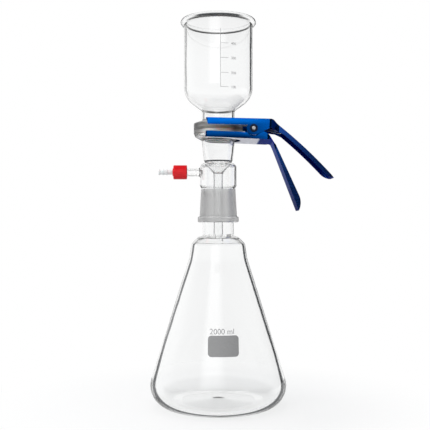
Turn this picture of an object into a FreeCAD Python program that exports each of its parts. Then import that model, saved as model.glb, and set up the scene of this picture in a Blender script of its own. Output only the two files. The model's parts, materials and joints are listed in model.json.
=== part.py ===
"""Vacuum filtration unit: a ground-joint flask, a filter base with a frit, a funnel and a spring clamp.

Millimetres, +Z up. The origin is the centre of the flask's foot, on the common axis of the glassware.
The clamp's handles point to +X and the vacuum side arm to -X.
"""
import FreeCAD, Part
import math
import os
import Sketcher
from FreeCAD import Placement, Rotation, Vector

os.makedirs("parts", exist_ok=True)
doc = FreeCAD.newDocument("vacuum_filtration_unit")
sheet = doc.addObject("Spreadsheet::Sheet", "sheet")

SIZES = {
    # flask
    "flask_body_r": 83.2,         # widest radius of the flask
    "flask_heel_r": 26.0,         # rounding between foot and wall
    "flask_cone_angle": 17.6,     # lean of the wall, degrees
    "flask_foot_r": 46.0,         # inner edge of the ring that it stands on
    "flask_push_up": 3.0,         # rise of the foot's centre
    "flask_wall": 2.8,
    "flask_floor": 4.2,
    "flask_cone_top_z": 180.0,    # where the cone meets the upright collar
    "flask_shoulder_width": 8.8,  # by which the shoulder is wider than the crown, on the radius
    "flask_shoulder_z": 198.8,
    "flask_crown_width": 5.0,     # of the flat crown round the neck
    "flask_crown_z": 207.2,
    "flask_crown_rise": 0.8,
    "flask_neck_set": 1.0,        # by which the neck is narrower than the joint's large end
    "flask_neck_wall": 2.4,
    "flask_waist_round": 40.0,
    "flask_shoulder_round": 6.0,
    "flask_neck_round": 2.0,
    "flask_mouth_round": 0.6,
    # ground joint, taper 1:10 on the diameter
    "joint_z": 227.0,             # large end of the flask's cone
    "joint_large_r": 20.0,
    "joint_length": 39.5,
    "joint_taper": 0.05,          # radius lost for each millimetre of length
    "joint_gap": 0.03,            # between the two ground surfaces
    "joint_step": 1.5,            # height of the step under the cone
    # filter base
    "base_end_z": 224.6,          # lower end of the collar
    "collar_lip": 2.27,           # by which the collar stands out from the socket
    "collar_height": 7.2,
    "collar_round": 2.2,
    "socket_wall": 2.9,
    "jacket_r": 22.5,
    "jacket_wall": 2.3,
    "jacket_foot_z": 269.8,
    "jacket_top_z": 296.0,
    "jacket_round": 6.2,
    "jacket_foot_round": 2.0,
    "seal_r": 16.2,               # crease of the ring seal between cup and jacket
    "seal_z": 297.8,
    "cup_r": 17.5,
    "cup_foot_z": 300.2,
    "cup_top_r": 20.3,
    "cup_wall": 2.4,
    "cup_round": 1.0,
    "cup_cone_round": 2.5,
    "drip_r": 6.0,
    "drip_wall": 1.7,
    "drip_root_round": 3.0,
    "drip_end_z": 200.6,
    "drip_cone_z": 285.0,         # where the drip cone becomes the tube
    "drip_bevel": 18.0,           # slant of the tube's end, degrees
    # ground flanges
    "flange_r": 30.0,
    "mate_z": 340.0,              # plane where funnel and base meet
    "mate_gap": 0.04,             # film of air between their ground faces
    "base_rim": 7.0,
    "base_under_r": 28.4,
    "base_under_drop": 10.8,
    "base_flange_drop": 15.2,
    "base_flange_round": 2.0,
    "funnel_rim": 5.5,
    "funnel_flange_rise": 8.6,
    "funnel_flange_round": 1.5,
    # frit disc
    "frit_r": 19.0,
    "frit_height": 4.8,
    "frit_gap": 0.05,
    "frit_sink": 0.1,             # how far the disc lies below the ground face
    # funnel
    "funnel_r": 42.0,
    "funnel_wall": 2.4,
    "funnel_neck_r": 20.1,
    "funnel_neck_z": 361.2,
    "funnel_corner_z": 377.0,
    "funnel_round": 24.0,
    "funnel_neck_round": 2.5,
    "bead_r": 3.3,
    "rim_top_z": 472.6,
    # side arm
    "arm_z": 286.0,
    "arm_r": 5.0,
    "arm_bore_r": 3.2,
    "arm_end_x": 49.3,
    "arm_round": 1.8,
    "thread_r": 6.6,              # core of the glass thread
    "thread_length": 9.4,
    "thread_round": 0.8,
    # screw cap
    "cap_wall": 1.35,
    "cap_length": 16.5,
    "cap_gap": 0.7,               # between the cap and the core of the glass thread
    "cap_top": 2.0,
    "cap_hole_r": 3.75,
    "cap_lip_r": 4.7,
    "cap_lip": 1.0,
    "cap_rib_depth": 0.35,
    "cap_rib_width": 0.55,
    "cap_rib_count": 36.0,
    "cap_edge": 0.7,
    # hose nozzle and its seal
    "nozzle_flange_r": 5.9,
    "nozzle_flange": 2.0,
    "nozzle_stem_r": 2.85,
    "nozzle_spigot_r": 2.75,
    "nozzle_spigot": 5.0,
    "nozzle_bore_r": 1.6,
    "barb_r": 3.5,
    "barb_land": 0.8,
    "barb_pitch": 4.6,
    "nozzle_tip_x": 73.2,
    "seal_thick": 1.5,
    "seal_ring_r": 6.2,
    "seal_gap": 0.05,             # between touching flat faces of the side arm's fittings
    # clamp, in each lever's own frame with the pivot at its origin
    "pivot_x": 42.0,
    "pivot_z": 336.4,
    "sheet_gauge": 1.5,
    "jaw_reach": 57.2,            # from the pivot to the tips of the fork
    "jaw_slant": 2.8,
    "fork_inset": 5.0,            # by which half the fork's slot is less than the flange's radius
    "fork_centre_x": 2.8,         # centre of the slot's round end, from the glass axis
    "lever_side_gap": 0.3,
    "flange_side_gap": 0.6,       # between the glass flange and the lower lever
    "pivot_hole_gap": 0.06,
    "upper_tilt": 1.4,
    "upper_plate": 11.45,         # pivot to the outer face of the upper plate
    "upper_edge": 3.4,            # pivot height of the upper flange's edge
    "upper_lug_r": 8.5,
    "lug_start": 0.9,             # share of the lug's radius where a flange's edge runs into it
    "upper_jaw_end_x": 20.6,
    "upper_jaw_end_z": 1.4,
    "upper_web_angle": 28.5,      # of the edge that leaves the lug towards the handle
    "upper_neck_x": 28.5,         # where the jaw's edge line meets the handle
    "upper_neck_z": -1.2,
    "upper_curve_x": -309.0,      # centre of the handle's long curve
    "upper_curve_z": -439.0,
    "upper_curve_r": 560.0,
    "upper_tip_x": 99.2,
    "upper_skirt_x": 36.9,        # where the handle's flange reaches its own depth
    "upper_skirt": 5.0,
    "upper_skirt_end_x": 85.0,
    "lower_tilt": 2.5,
    "lower_plate": 12.45,
    "lower_edge": 5.0,
    "lower_lug_r": 7.5,
    "lower_jaw_end_x": 18.8,
    "lower_jaw_end_z": 6.8,
    "lower_bend_x": 23.3,
    "lower_turn": 66.5,           # slope of the lower handle, degrees
    "lower_length": 90.2,
    "lower_skirt_start": 2.7,
    "lower_skirt": 7.0,
    "lower_skirt_from": 6.0,
    "lower_skirt_to": 74.0,
    "handle_half": 18.0,
    "handle_end_round": 5.0,
    "handle_tip_round": 22.0,     # sweep of the flanges up to the handle's tip, seen from the side
    "fork_tip_round": 3.0,
    "shoulder_angle": 62.0,       # of the shoulders between jaw and handle, degrees
    "shoulder_round": 4.0,
    "bend_r": 5.0,
    # pivot pin, retaining rings and spring
    "pin_r": 2.5,
    "pin_stand_out": 1.7,
    "pin_round": 0.7,
    "ring_r": 4.7,
    "ring_gauge": 0.5,
    "ring_rim_r": 3.4,
    "ring_rise": 0.9,
    "ring_gap": 0.15,
    "ring_notch": 0.7,
    "ring_notches": 6.0,
    "wire_r": 0.9,
    "coil_r": 5.0,                # mean radius of the spring's coils
    "coil_skin": 0.1,             # by which the tube that stands for a coil is thicker than the wire
    "wire_inset": 0.15,           # of the straight wires from the coils' ends
    "coil_inner_y": 7.0,
    "coil_length": 10.8,
    "loop_angle": 10.6,
    "loop_reach": 35.0,
    "loop_round": 2.4,
    "leg_angle": 18.2,
    "leg_reach": 19.0,
}


class Size:
    """A length with its formula: value is the number, text the expression that a property is bound to."""

    def __init__(self, value, text):
        self.value = value
        self.text = text

    @staticmethod
    def of(thing):
        return thing if isinstance(thing, Size) else Size(float(thing), repr(float(thing)))

    def __add__(self, other):
        other = Size.of(other)
        return Size(self.value + other.value, f"({self.text} + {other.text})")

    def __sub__(self, other):
        other = Size.of(other)
        return Size(self.value - other.value, f"({self.text} - {other.text})")

    def __mul__(self, other):
        other = Size.of(other)
        return Size(self.value * other.value, f"({self.text} * {other.text})")

    def __rmul__(self, other):
        return Size.of(other) * self

    def __truediv__(self, other):
        other = Size.of(other)
        return Size(self.value / other.value, f"({self.text} / {other.text})")

    def __neg__(self):
        return Size(-self.value, f"(0 - {self.text})")


def sin(angle):
    return Size(math.sin(math.radians(angle.value)), f"sin({angle.text})")


def cos(angle):
    return Size(math.cos(math.radians(angle.value)), f"cos({angle.text})")


def tan(angle):
    return Size(math.tan(math.radians(angle.value)), f"tan({angle.text})")


def root(square):
    return Size(math.sqrt(square.value), f"sqrt({square.text})")


class Sizes:
    """Every named size of the sheet, as a Size: dim.flask_wall and so on."""


dim = Sizes()
for row, (alias, number) in enumerate(SIZES.items(), start=1):
    sheet.set(f"A{row}", alias.replace("_", " "))
    sheet.set(f"B{row}", repr(number))
    sheet.setAlias(f"B{row}", alias)
    setattr(dim, alias, Size(number, f"sheet.{alias}"))
doc.recompute()

ZERO = Size(0.0, "0")
EXTRA = 3.0                       # how far a cutting outline runs past the faces that it opens
MITER = math.tan(math.radians(22.5))    # shift of a wall's inner corner where the wall turns 45 degrees
GRIP = 0.01                       # clearance of the retaining rings on their pin


# ---------------------------------------------------------------- helpers

def new_body(name):
    body = doc.addObject("PartDesign::Body", name)
    body.Label = name
    return body


def origin_feature(body, role):
    return next(item for item in body.Origin.OriginFeatures if item.Role == role)


def new_sketch(body, name, role, offset=None, turn=None):
    """An empty sketch on an origin plane of the body, moved along the normal by offset or placed by turn."""
    sketch = body.newObject("Sketcher::SketchObject", name)
    sketch.AttachmentSupport = [(origin_feature(body, role), "")]
    sketch.MapMode = "FlatFace"
    if turn is not None:
        sketch.AttachmentOffset = turn
    if offset is not None:
        sketch.setExpression("AttachmentOffset.Base.z", offset.text)
    return sketch


def pin_point(sketch, geometry, end, x, y):
    """Holds one end of a sketch edge at a named place."""
    for kind, size in (("DistanceX", x), ("DistanceY", y)):
        index = sketch.addConstraint(Sketcher.Constraint(kind, -1, 1, geometry, end, size.value))
        sketch.setExpression(f"Constraints[{index}]", size.text)


def draw_outline(sketch, points):
    """A closed outline. Each point is (x, y), or (x, y, radius) for an arc that leads to it.

    An arc with a positive radius turns left on its way to the point, one with a negative radius turns right.
    """
    points = [tuple(Size.of(item) for item in point) for point in points]
    first = sketch.GeometryCount
    ends = []
    for index, point in enumerate(points):
        before = points[index - 1]
        start = Vector(before[0].value, before[1].value, 0)
        end = Vector(point[0].value, point[1].value, 0)
        if len(point) == 2:
            sketch.addGeometry(Part.LineSegment(start, end), False)
            ends.append((1, 2))
            continue
        radius = abs(point[2].value)
        left = 1 if point[2].value > 0 else -1
        chord = end - start
        sagitta = radius - math.sqrt(radius ** 2 - (chord.Length / 2) ** 2)
        across = Vector(chord.y, -chord.x, 0).normalize() * sagitta * left
        curve = Part.Arc(start, (start + end) / 2 + across, end)
        edge = sketch.addGeometry(curve, False)
        ends.append((1, 2) if left == 1 else (2, 1))
        index = sketch.addConstraint(Sketcher.Constraint("Radius", edge, radius))
        text = point[2].text if left == 1 else (-point[2]).text
        sketch.setExpression(f"Constraints[{index}]", text)
    count = len(points)
    for index, point in enumerate(points):
        after = (index + 1) % count
        edges = (first + index, ends[index][1], first + after, ends[after][0])
        sketch.addConstraint(Sketcher.Constraint("Coincident", *edges))
        pin_point(sketch, first + index, ends[index][1], point[0], point[1])


def draw_circle(sketch, x, y, radius):
    circle = Part.Circle(Vector(x.value, y.value, 0), Vector(0, 0, 1), radius.value)
    edge = sketch.addGeometry(circle, False)
    pin_point(sketch, edge, 3, x, y)
    index = sketch.addConstraint(Sketcher.Constraint("Radius", edge, radius.value))
    sketch.setExpression(f"Constraints[{index}]", radius.text)


def turned(body, name, points, axis="V_Axis", cut=False):
    """A full turn of an outline in the XZ plane, added to the body or cut from it."""
    sketch = new_sketch(body, name + "_sketch", "XZ_Plane")
    draw_outline(sketch, points)
    kind = "PartDesign::Groove" if cut else "PartDesign::Revolution"
    feature = body.newObject(kind, name)
    feature.Profile = sketch
    feature.ReferenceAxis = (sketch, [axis])
    feature.Angle = 360
    doc.recompute()
    return feature


def padded(body, name, sketch, length, symmetric=False, reverse=False):
    feature = body.newObject("PartDesign::Pad", name)
    feature.Profile = sketch
    feature.setExpression("Length", length.text)
    feature.SideType = "Symmetric" if symmetric else "One side"
    feature.Reversed = reverse
    doc.recompute()
    return feature


def pocketed(body, name, sketch, length, symmetric=False, reverse=False):
    """A pocket whose cut is checked: the body must lose volume."""
    before = body.Shape.Volume
    feature = body.newObject("PartDesign::Pocket", name)
    feature.Profile = sketch
    feature.setExpression("Length", length.text)
    feature.SideType = "Symmetric" if symmetric else "One side"
    feature.Reversed = reverse
    doc.recompute()
    if body.Shape.Volume >= before:
        raise RuntimeError(f"{body.Label}.{name} cuts nothing")
    return feature


def round_edges(body, name, radius, chosen):
    """Rounds every edge of the body that the function chosen accepts."""
    base = body.Tip
    names = [f"Edge{i}" for i, edge in enumerate(base.Shape.Edges, start=1) if chosen(edge)]
    if not names:
        raise RuntimeError(f"{body.Label}.{name} finds no edge")
    feature = body.newObject("PartDesign::Fillet", name)
    feature.Base = (base, names)
    feature.setExpression("Radius", radius.text)
    doc.recompute()
    return feature


def round_rings(body, name, radius, corners):
    """Rounds the full circles about the Z axis that pass through the given (radius, z) corners."""
    wanted = [(Size.of(r).value, Size.of(z).value) for r, z in corners]

    def chosen(edge):
        if not isinstance(edge.Curve, Part.Circle):
            return False
        centre = edge.Curve.Center
        return any(
            abs(edge.Curve.Radius - r) < 1e-3 and abs(centre.z - z) < 1e-3 and abs(centre.x) < 1e-3
            for r, z in wanted
        )

    return round_edges(body, name, radius, chosen)


def place(body, x=ZERO, y=ZERO, z=ZERO):
    for letter, size in (("x", x), ("y", y), ("z", z)):
        body.setExpression(f"Placement.Base.{letter}", size.text)


# ---------------------------------------------------------------- sizes that several pieces share

cone_slope = tan(dim.flask_cone_angle)
corner_half = (Size.of(90) - dim.flask_cone_angle) / 2
flask_corner_r = dim.flask_body_r - dim.flask_heel_r + dim.flask_heel_r / tan(corner_half)
flask_upper_r = flask_corner_r - dim.flask_cone_top_z * cone_slope
joint_top_z = dim.joint_z + dim.joint_length
joint_small_r = dim.joint_large_r - dim.joint_length * dim.joint_taper
flask_bore_r = joint_small_r - dim.flask_neck_wall
flask_neck_r = dim.joint_large_r - dim.flask_neck_set
flask_crown_r = flask_neck_r + dim.flask_crown_width
flask_shoulder_r = flask_crown_r + dim.flask_shoulder_width
cup_top_bore_r = dim.cup_top_r - dim.cup_wall
cup_foot_bore_r = dim.cup_r - dim.cup_wall
drip_bore_r = dim.drip_r - dim.drip_wall
seat_z = dim.mate_z - dim.frit_height - dim.frit_sink
funnel_bore_r = dim.funnel_neck_r - dim.funnel_wall
cap_open_x = dim.arm_end_x + dim.seal_gap * 3 + dim.seal_thick + dim.nozzle_flange
cap_outer_x = cap_open_x + dim.cap_top
cap_inner_r = dim.thread_r + dim.cap_gap
cap_r = cap_inner_r + dim.cap_wall
lower_half = dim.flange_r + dim.flange_side_gap + dim.sheet_gauge
upper_half = lower_half + dim.lever_side_gap + dim.sheet_gauge
fork_x = dim.pivot_x - dim.fork_centre_x
fork_r = dim.flange_r - dim.fork_inset


# ---------------------------------------------------------------- glassware

def make_flask():
    """Blown conical flask with a rounded shoulder and a ground cone on its neck."""
    body = new_body("flask")
    across = dim.flask_wall / cos(dim.flask_cone_angle)
    inner_corner_r = flask_corner_r - dim.flask_floor * cone_slope - across
    inner_upper_r = flask_upper_r - across
    neck_foot_z = dim.flask_crown_z + dim.flask_crown_rise
    foot = (dim.flask_foot_r, ZERO)
    heel = (flask_corner_r, ZERO)
    upper = (flask_upper_r, dim.flask_cone_top_z)
    shoulder = (flask_shoulder_r, dim.flask_shoulder_z)
    crown = (flask_crown_r, dim.flask_crown_z)
    neck = (flask_neck_r, neck_foot_z)
    inner_neck = (flask_bore_r, neck_foot_z - dim.flask_wall)
    inner_crown = (flask_crown_r - dim.flask_wall * MITER, dim.flask_crown_z - dim.flask_wall)
    inner_shoulder = (flask_shoulder_r - dim.flask_wall, dim.flask_shoulder_z - dim.flask_wall * MITER)
    inner_upper = (inner_upper_r, dim.flask_cone_top_z)
    inner_heel = (inner_corner_r, dim.flask_floor)
    turned(body, "glass", [
        (ZERO, dim.flask_push_up),
        foot, heel, upper, shoulder, crown, neck,
        (flask_neck_r, dim.joint_z - dim.joint_step),
        (dim.joint_large_r, dim.joint_z),
        (joint_small_r, joint_top_z),
        (flask_bore_r, joint_top_z),
        inner_neck, inner_crown, inner_shoulder, inner_upper, inner_heel,
        (dim.flask_foot_r, dim.flask_floor),
        (ZERO, dim.flask_floor + dim.flask_push_up),
    ])
    round_rings(body, "inner_heel", dim.flask_heel_r - dim.flask_wall, [inner_heel])
    round_rings(body, "heel", dim.flask_heel_r, [heel])
    round_rings(body, "waist", dim.flask_waist_round, [upper, inner_upper])
    inner_round = dim.flask_shoulder_round - dim.flask_wall
    round_rings(body, "inner_shoulder", inner_round, [inner_shoulder, inner_crown])
    round_rings(body, "shoulder", dim.flask_shoulder_round, [shoulder, crown])
    round_rings(body, "neck_foot", dim.flask_neck_round, [neck, inner_neck])
    mouth = [(joint_small_r, joint_top_z), (flask_bore_r, joint_top_z)]
    round_rings(body, "mouth", dim.flask_mouth_round, mouth)
    return body


def make_filter_base():
    """Cup, drip tube, vacuum jacket, ground socket and side arm, sealed together as one piece of glass."""
    body = new_body("filter_base")
    socket_z = dim.joint_z
    socket_large_r = dim.joint_large_r + dim.joint_gap
    socket_small_r = joint_small_r + dim.joint_gap
    socket_top_r = socket_small_r + dim.socket_wall
    socket_foot_r = socket_large_r + dim.socket_wall
    collar_top_z = dim.base_end_z + dim.collar_height
    rim = (dim.flange_r, dim.mate_z - dim.base_rim)
    under = (dim.base_under_r, dim.mate_z - dim.base_under_drop)
    cup_top = (dim.cup_top_r, dim.mate_z - dim.base_flange_drop)
    cup_foot = (dim.cup_r, dim.cup_foot_z)
    jacket_top = (dim.jacket_r, dim.jacket_top_z)
    jacket_foot = (dim.jacket_r, dim.jacket_foot_z)
    collar_r = socket_foot_r + dim.collar_lip
    collar_upper = (collar_r, collar_top_z)
    collar_lower = (collar_r, dim.base_end_z)
    turned(body, "outer_form", [
        (ZERO, dim.base_end_z),
        collar_lower, collar_upper,
        (socket_foot_r, collar_top_z),
        (socket_top_r, joint_top_z),
        jacket_foot, jacket_top,
        (dim.seal_r, dim.seal_z),
        cup_foot, cup_top, under, rim,
        (dim.flange_r, dim.mate_z),
        (ZERO, dim.mate_z),
    ])
    round_rings(body, "collar_round", dim.collar_round, [collar_upper, collar_lower])
    round_rings(body, "jacket_shoulder", dim.jacket_round, [jacket_top])
    round_rings(body, "jacket_foot_round", dim.jacket_foot_round, [jacket_foot])
    round_rings(body, "flange_round", dim.base_flange_round, [rim, under])
    round_rings(body, "cup_round", dim.cup_round, [cup_top, cup_foot])
    add_side_arm(body)
    add_vacuum_space(body, socket_z, socket_large_r, socket_small_r)
    add_drip_path(body)
    cut_arm_bore(body)
    bevel_drip_end(body)
    return body


def add_side_arm(body):
    """The arm's tube and the wider threaded end."""
    arm = new_sketch(body, "arm_sketch", "YZ_Plane")
    draw_circle(arm, ZERO, dim.arm_z, dim.arm_r)
    padded(body, "arm", arm, dim.arm_end_x, reverse=True)
    reach = dim.jacket_r.value

    def at_jacket(edge):
        box = edge.BoundBox
        level = abs(edge.CenterOfMass.z - dim.arm_z.value) < dim.arm_r.value
        return level and box.XMin > -reach - 0.5 and box.XMax < -reach * 0.9

    round_edges(body, "arm_root", dim.arm_round, at_jacket)
    thread = new_sketch(body, "thread_sketch", "YZ_Plane", offset=-dim.arm_end_x)
    draw_circle(thread, ZERO, dim.arm_z, dim.thread_r)
    padded(body, "thread_core", thread, dim.thread_length)

    def at_thread(edge):
        return isinstance(edge.Curve, Part.Circle) and abs(edge.Curve.Radius - dim.thread_r.value) < 1e-3

    round_edges(body, "thread_ends", dim.thread_round, at_thread)


def add_vacuum_space(body, socket_z, socket_large_r, socket_small_r):
    """The ring-shaped space around the drip tube, open at the bottom as the ground socket."""
    jacket_bore_r = dim.jacket_r - dim.jacket_wall
    drip_cone = (dim.drip_r, dim.drip_cone_z)
    crest = (dim.seal_r, dim.seal_z - dim.jacket_wall)
    shoulder = (jacket_bore_r, dim.jacket_top_z - dim.jacket_wall)
    foot = (jacket_bore_r, dim.jacket_foot_z)
    low = dim.drip_end_z - EXTRA
    turned(body, "vacuum_space", [
        (dim.drip_r, low),
        (socket_large_r, low),
        (socket_large_r, socket_z),
        (socket_small_r, joint_top_z),
        foot, shoulder, crest, drip_cone,
    ], cut=True)
    round_rings(body, "inner_shoulder", dim.jacket_round - dim.jacket_wall, [shoulder])
    round_rings(body, "drip_root", dim.drip_root_round, [drip_cone])


def add_drip_path(body):
    """The drip tube below the socket, and the way through: frit seat, cup, cone and bore."""
    sketch = new_sketch(body, "tube_sketch", "XY_Plane", offset=dim.drip_end_z)
    draw_circle(sketch, ZERO, ZERO, dim.drip_r)
    padded(body, "tube_end", sketch, dim.joint_z - dim.drip_end_z)
    seat_r = dim.frit_r + dim.frit_gap
    cup_foot = (cup_foot_bore_r, dim.cup_foot_z)
    cone_top = (cup_foot_bore_r - dim.cup_round, dim.seal_z)
    cone_foot = (drip_bore_r, dim.drip_cone_z + dim.drip_wall)
    turned(body, "drip_path", [
        (ZERO, dim.drip_end_z - EXTRA),
        (drip_bore_r, dim.drip_end_z - EXTRA),
        cone_foot, cone_top, cup_foot,
        (cup_top_bore_r, seat_z),
        (seat_r, seat_z),
        (seat_r, dim.mate_z + EXTRA),
        (ZERO, dim.mate_z + EXTRA),
    ], cut=True)
    round_rings(body, "cone_round", dim.cup_cone_round, [cone_foot, cone_top])


def cut_arm_bore(body):
    """The arm's bore, from its end into the vacuum space."""
    sketch = new_sketch(body, "arm_bore_sketch", "YZ_Plane", offset=-dim.arm_end_x - EXTRA)
    draw_circle(sketch, ZERO, dim.arm_z, dim.arm_bore_r)
    depth = dim.arm_end_x + EXTRA - dim.jacket_r + dim.jacket_wall * 1.5
    pocketed(body, "arm_bore", sketch, depth, reverse=True)


def bevel_drip_end(body):
    """The slanted end of the drip tube, lowest on the +X side."""
    sketch = new_sketch(body, "bevel_sketch", "XZ_Plane")
    side = dim.drip_r + EXTRA
    rise = side * 2 * tan(dim.drip_bevel)
    draw_outline(sketch, [
        (-side, dim.drip_end_z - EXTRA),
        (side, dim.drip_end_z - EXTRA),
        (side, dim.drip_end_z - EXTRA * tan(dim.drip_bevel)),
        (-side, dim.drip_end_z - EXTRA * tan(dim.drip_bevel) + rise),
    ])
    pocketed(body, "bevel", sketch, dim.drip_r * 4, symmetric=True)


def make_frit_disc():
    """Porous disc of sintered glass, sealed into the base's flange."""
    body = new_body("frit_disc")
    sketch = new_sketch(body, "disc_sketch", "XY_Plane")
    draw_circle(sketch, ZERO, ZERO, dim.frit_r)
    padded(body, "disc", sketch, dim.frit_height)
    place(body, z=seat_z)
    return body


def make_funnel():
    """Cylindrical funnel with a beaded rim, a rounded floor, a short neck and a ground flange."""
    body = new_body("funnel")
    inner_r = dim.funnel_r - dim.funnel_wall
    bead_z = dim.rim_top_z - dim.bead_r
    floor_slope = (dim.funnel_corner_z - dim.funnel_neck_z) / (dim.funnel_r - dim.funnel_neck_r)
    lift = dim.funnel_wall * (root(floor_slope * floor_slope + 1) - floor_slope)
    foot_z = dim.mate_z + dim.mate_gap
    rim = (dim.flange_r, dim.mate_z + dim.funnel_rim)
    flange_top = (dim.funnel_neck_r, dim.mate_z + dim.funnel_flange_rise)
    neck = (dim.funnel_neck_r, dim.funnel_neck_z)
    corner = (dim.funnel_r, dim.funnel_corner_z)
    inner_corner = (inner_r, dim.funnel_corner_z + lift)
    inner_neck = (funnel_bore_r, dim.funnel_neck_z + lift)
    turned(body, "glass", [
        (funnel_bore_r, foot_z),
        (dim.flange_r, foot_z),
        rim, flange_top, neck, corner,
        (dim.funnel_r, bead_z),
        (inner_r, bead_z),
        inner_corner, inner_neck,
    ])
    round_rings(body, "floor_round", dim.funnel_round, [corner])
    round_rings(body, "inner_floor_round", dim.funnel_round - dim.funnel_wall, [inner_corner])
    round_rings(body, "neck_round", dim.funnel_neck_round, [neck, inner_neck, flange_top])
    round_rings(body, "flange_round", dim.funnel_flange_round, [rim])
    bead = new_sketch(body, "bead_sketch", "XZ_Plane")
    draw_circle(bead, inner_r + dim.bead_r, bead_z, dim.bead_r)
    feature = body.newObject("PartDesign::Revolution", "bead")
    feature.Profile = bead
    feature.ReferenceAxis = (bead, ["V_Axis"])
    feature.Angle = 360
    doc.recompute()
    return body


# ---------------------------------------------------------------- side arm fittings, drawn about the X axis

def make_screw_cap():
    """Moulded screw cap with a hole for the nozzle; its inner thread is left to the finish."""
    body = new_body("screw_cap")
    mouth_x = cap_outer_x - dim.cap_length
    turned(body, "moulding", [
        (-mouth_x, cap_inner_r),
        (-mouth_x, cap_r),
        (-cap_outer_x, cap_r),
        (-cap_outer_x, dim.cap_lip_r),
        (-cap_outer_x - dim.cap_lip, dim.cap_lip_r),
        (-cap_outer_x - dim.cap_lip, dim.cap_hole_r),
        (-cap_open_x, dim.cap_hole_r),
        (-cap_open_x, cap_inner_r),
    ], axis="H_Axis")

    def outer_ring(edge):
        return isinstance(edge.Curve, Part.Circle) and abs(edge.Curve.Radius - cap_r.value) < 1e-3

    round_edges(body, "edges", dim.cap_edge, outer_ring)
    rib = new_sketch(body, "rib_sketch", "YZ_Plane", offset=-cap_outer_x + dim.cap_edge * 2)
    half = dim.cap_rib_width / 2
    floor_r = cap_r - dim.cap_rib_depth
    draw_outline(rib, [
        (-half, floor_r),
        (half, floor_r),
        (half, cap_r + EXTRA),
        (-half, cap_r + EXTRA),
    ])
    groove = pocketed(body, "rib_groove", rib, dim.cap_length - dim.cap_edge * 4, reverse=True)
    pattern = body.newObject("PartDesign::PolarPattern", "ribs")
    pattern.Originals = [groove]
    pattern.Axis = (origin_feature(body, "X_Axis"), [""])
    pattern.Angle = 360
    pattern.setExpression("Occurrences", dim.cap_rib_count.text)
    body.Tip = pattern
    place(body, z=dim.arm_z)
    return body


def make_hose_nozzle():
    """Barbed hose nozzle; its flange is held by the cap and its spigot centres it in the arm's bore."""
    body = new_body("hose_nozzle")
    flange_face_x = dim.arm_end_x + dim.seal_thick + dim.seal_gap * 2
    flange_back_x = flange_face_x + dim.nozzle_flange
    spigot_x = flange_face_x - dim.nozzle_spigot
    points = [
        (-spigot_x, dim.nozzle_bore_r),
        (-spigot_x, dim.nozzle_spigot_r),
        (-flange_face_x, dim.nozzle_spigot_r),
        (-flange_face_x, dim.nozzle_flange_r),
        (-flange_back_x, dim.nozzle_flange_r),
        (-flange_back_x, dim.nozzle_stem_r),
    ]
    for step in (2, 1, 0):
        crest_x = dim.nozzle_tip_x - dim.barb_pitch * step - dim.barb_land
        points.append((-(crest_x - dim.barb_land), dim.nozzle_stem_r))
        points.append((-(crest_x - dim.barb_land), dim.barb_r))
        points.append((-crest_x, dim.barb_r))
        points.append((-(crest_x + dim.barb_land), dim.nozzle_stem_r))
    points.append((-dim.nozzle_tip_x, dim.nozzle_bore_r))
    turned(body, "moulding", points, axis="H_Axis")
    place(body, z=dim.arm_z)
    return body


def make_nozzle_seal():
    """Flat silicone ring between the nozzle's flange and the end of the glass arm."""
    body = new_body("nozzle_seal")
    near_x = dim.arm_end_x + dim.seal_gap
    far_x = near_x + dim.seal_thick
    bore_r = dim.nozzle_spigot_r + dim.seal_gap
    turned(body, "ring", [
        (-near_x, bore_r),
        (-near_x, dim.seal_ring_r),
        (-far_x, dim.seal_ring_r),
        (-far_x, bore_r),
    ], axis="H_Axis")
    place(body, z=dim.arm_z)
    return body


# ---------------------------------------------------------------- clamp

def cut_to_plan(body, half, end_x, tip_x, inset):
    """Trims a lever's block to its outline from above: a wide jaw, slanting shoulders, a narrow handle."""
    handle = dim.handle_half - inset
    half_turn = tan(dim.shoulder_angle / 2)
    start_x = end_x - half_turn * inset
    neck_x = start_x + (half - handle) / tan(dim.shoulder_angle)
    outer_round = dim.shoulder_round - inset
    inner_round = dim.shoulder_round + inset
    near = outer_round * half_turn
    far = inner_round * half_turn
    far_x = tip_x + EXTRA
    far_y = half + EXTRA
    sketch = new_sketch(body, "plan_sketch", "XY_Plane")
    for side in (1, -1):
        draw_outline(sketch, [
            (start_x - near, half * side),
            (start_x + cos(dim.shoulder_angle) * near, (half - sin(dim.shoulder_angle) * near) * side,
             outer_round * -side),
            (neck_x - cos(dim.shoulder_angle) * far, (handle + sin(dim.shoulder_angle) * far) * side),
            (neck_x + far, handle * side, inner_round * side),
            (far_x, handle * side),
            (far_x, far_y * side),
            (start_x - near, far_y * side),
        ])
    pocketed(body, "plan", sketch, dim.upper_curve_r, symmetric=True)


def round_fork_tips(body, half):
    """Rounds the outer corners of the fork's tips, seen from above."""
    reach = -dim.jaw_reach
    tip_round = dim.fork_tip_round
    far_y = half + EXTRA
    sketch = new_sketch(body, "fork_tip_sketch", "XY_Plane")
    for side in (1, -1):
        draw_outline(sketch, [
            (reach, (half - tip_round) * side),
            (reach + tip_round, half * side, tip_round * -side),
            (reach + tip_round, far_y * side),
            (reach - EXTRA, far_y * side),
            (reach - EXTRA, (half - tip_round) * side),
        ])
    pocketed(body, "fork_tips", sketch, dim.upper_curve_r, symmetric=True)


def round_handle_end(body, tip_x):
    """Rounds the corners of the upper handle's end, seen from above."""
    end_round = dim.handle_end_round
    far_y = dim.handle_half + EXTRA
    sketch = new_sketch(body, "handle_end_sketch", "XY_Plane")
    for side in (1, -1):
        draw_outline(sketch, [
            (tip_x - end_round, dim.handle_half * side),
            (tip_x, (dim.handle_half - end_round) * side, end_round * -side),
            (tip_x + EXTRA, (dim.handle_half - end_round) * side),
            (tip_x + EXTRA, far_y * side),
            (tip_x - end_round, far_y * side),
        ])
    pocketed(body, "handle_end", sketch, dim.upper_curve_r, symmetric=True)


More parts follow.
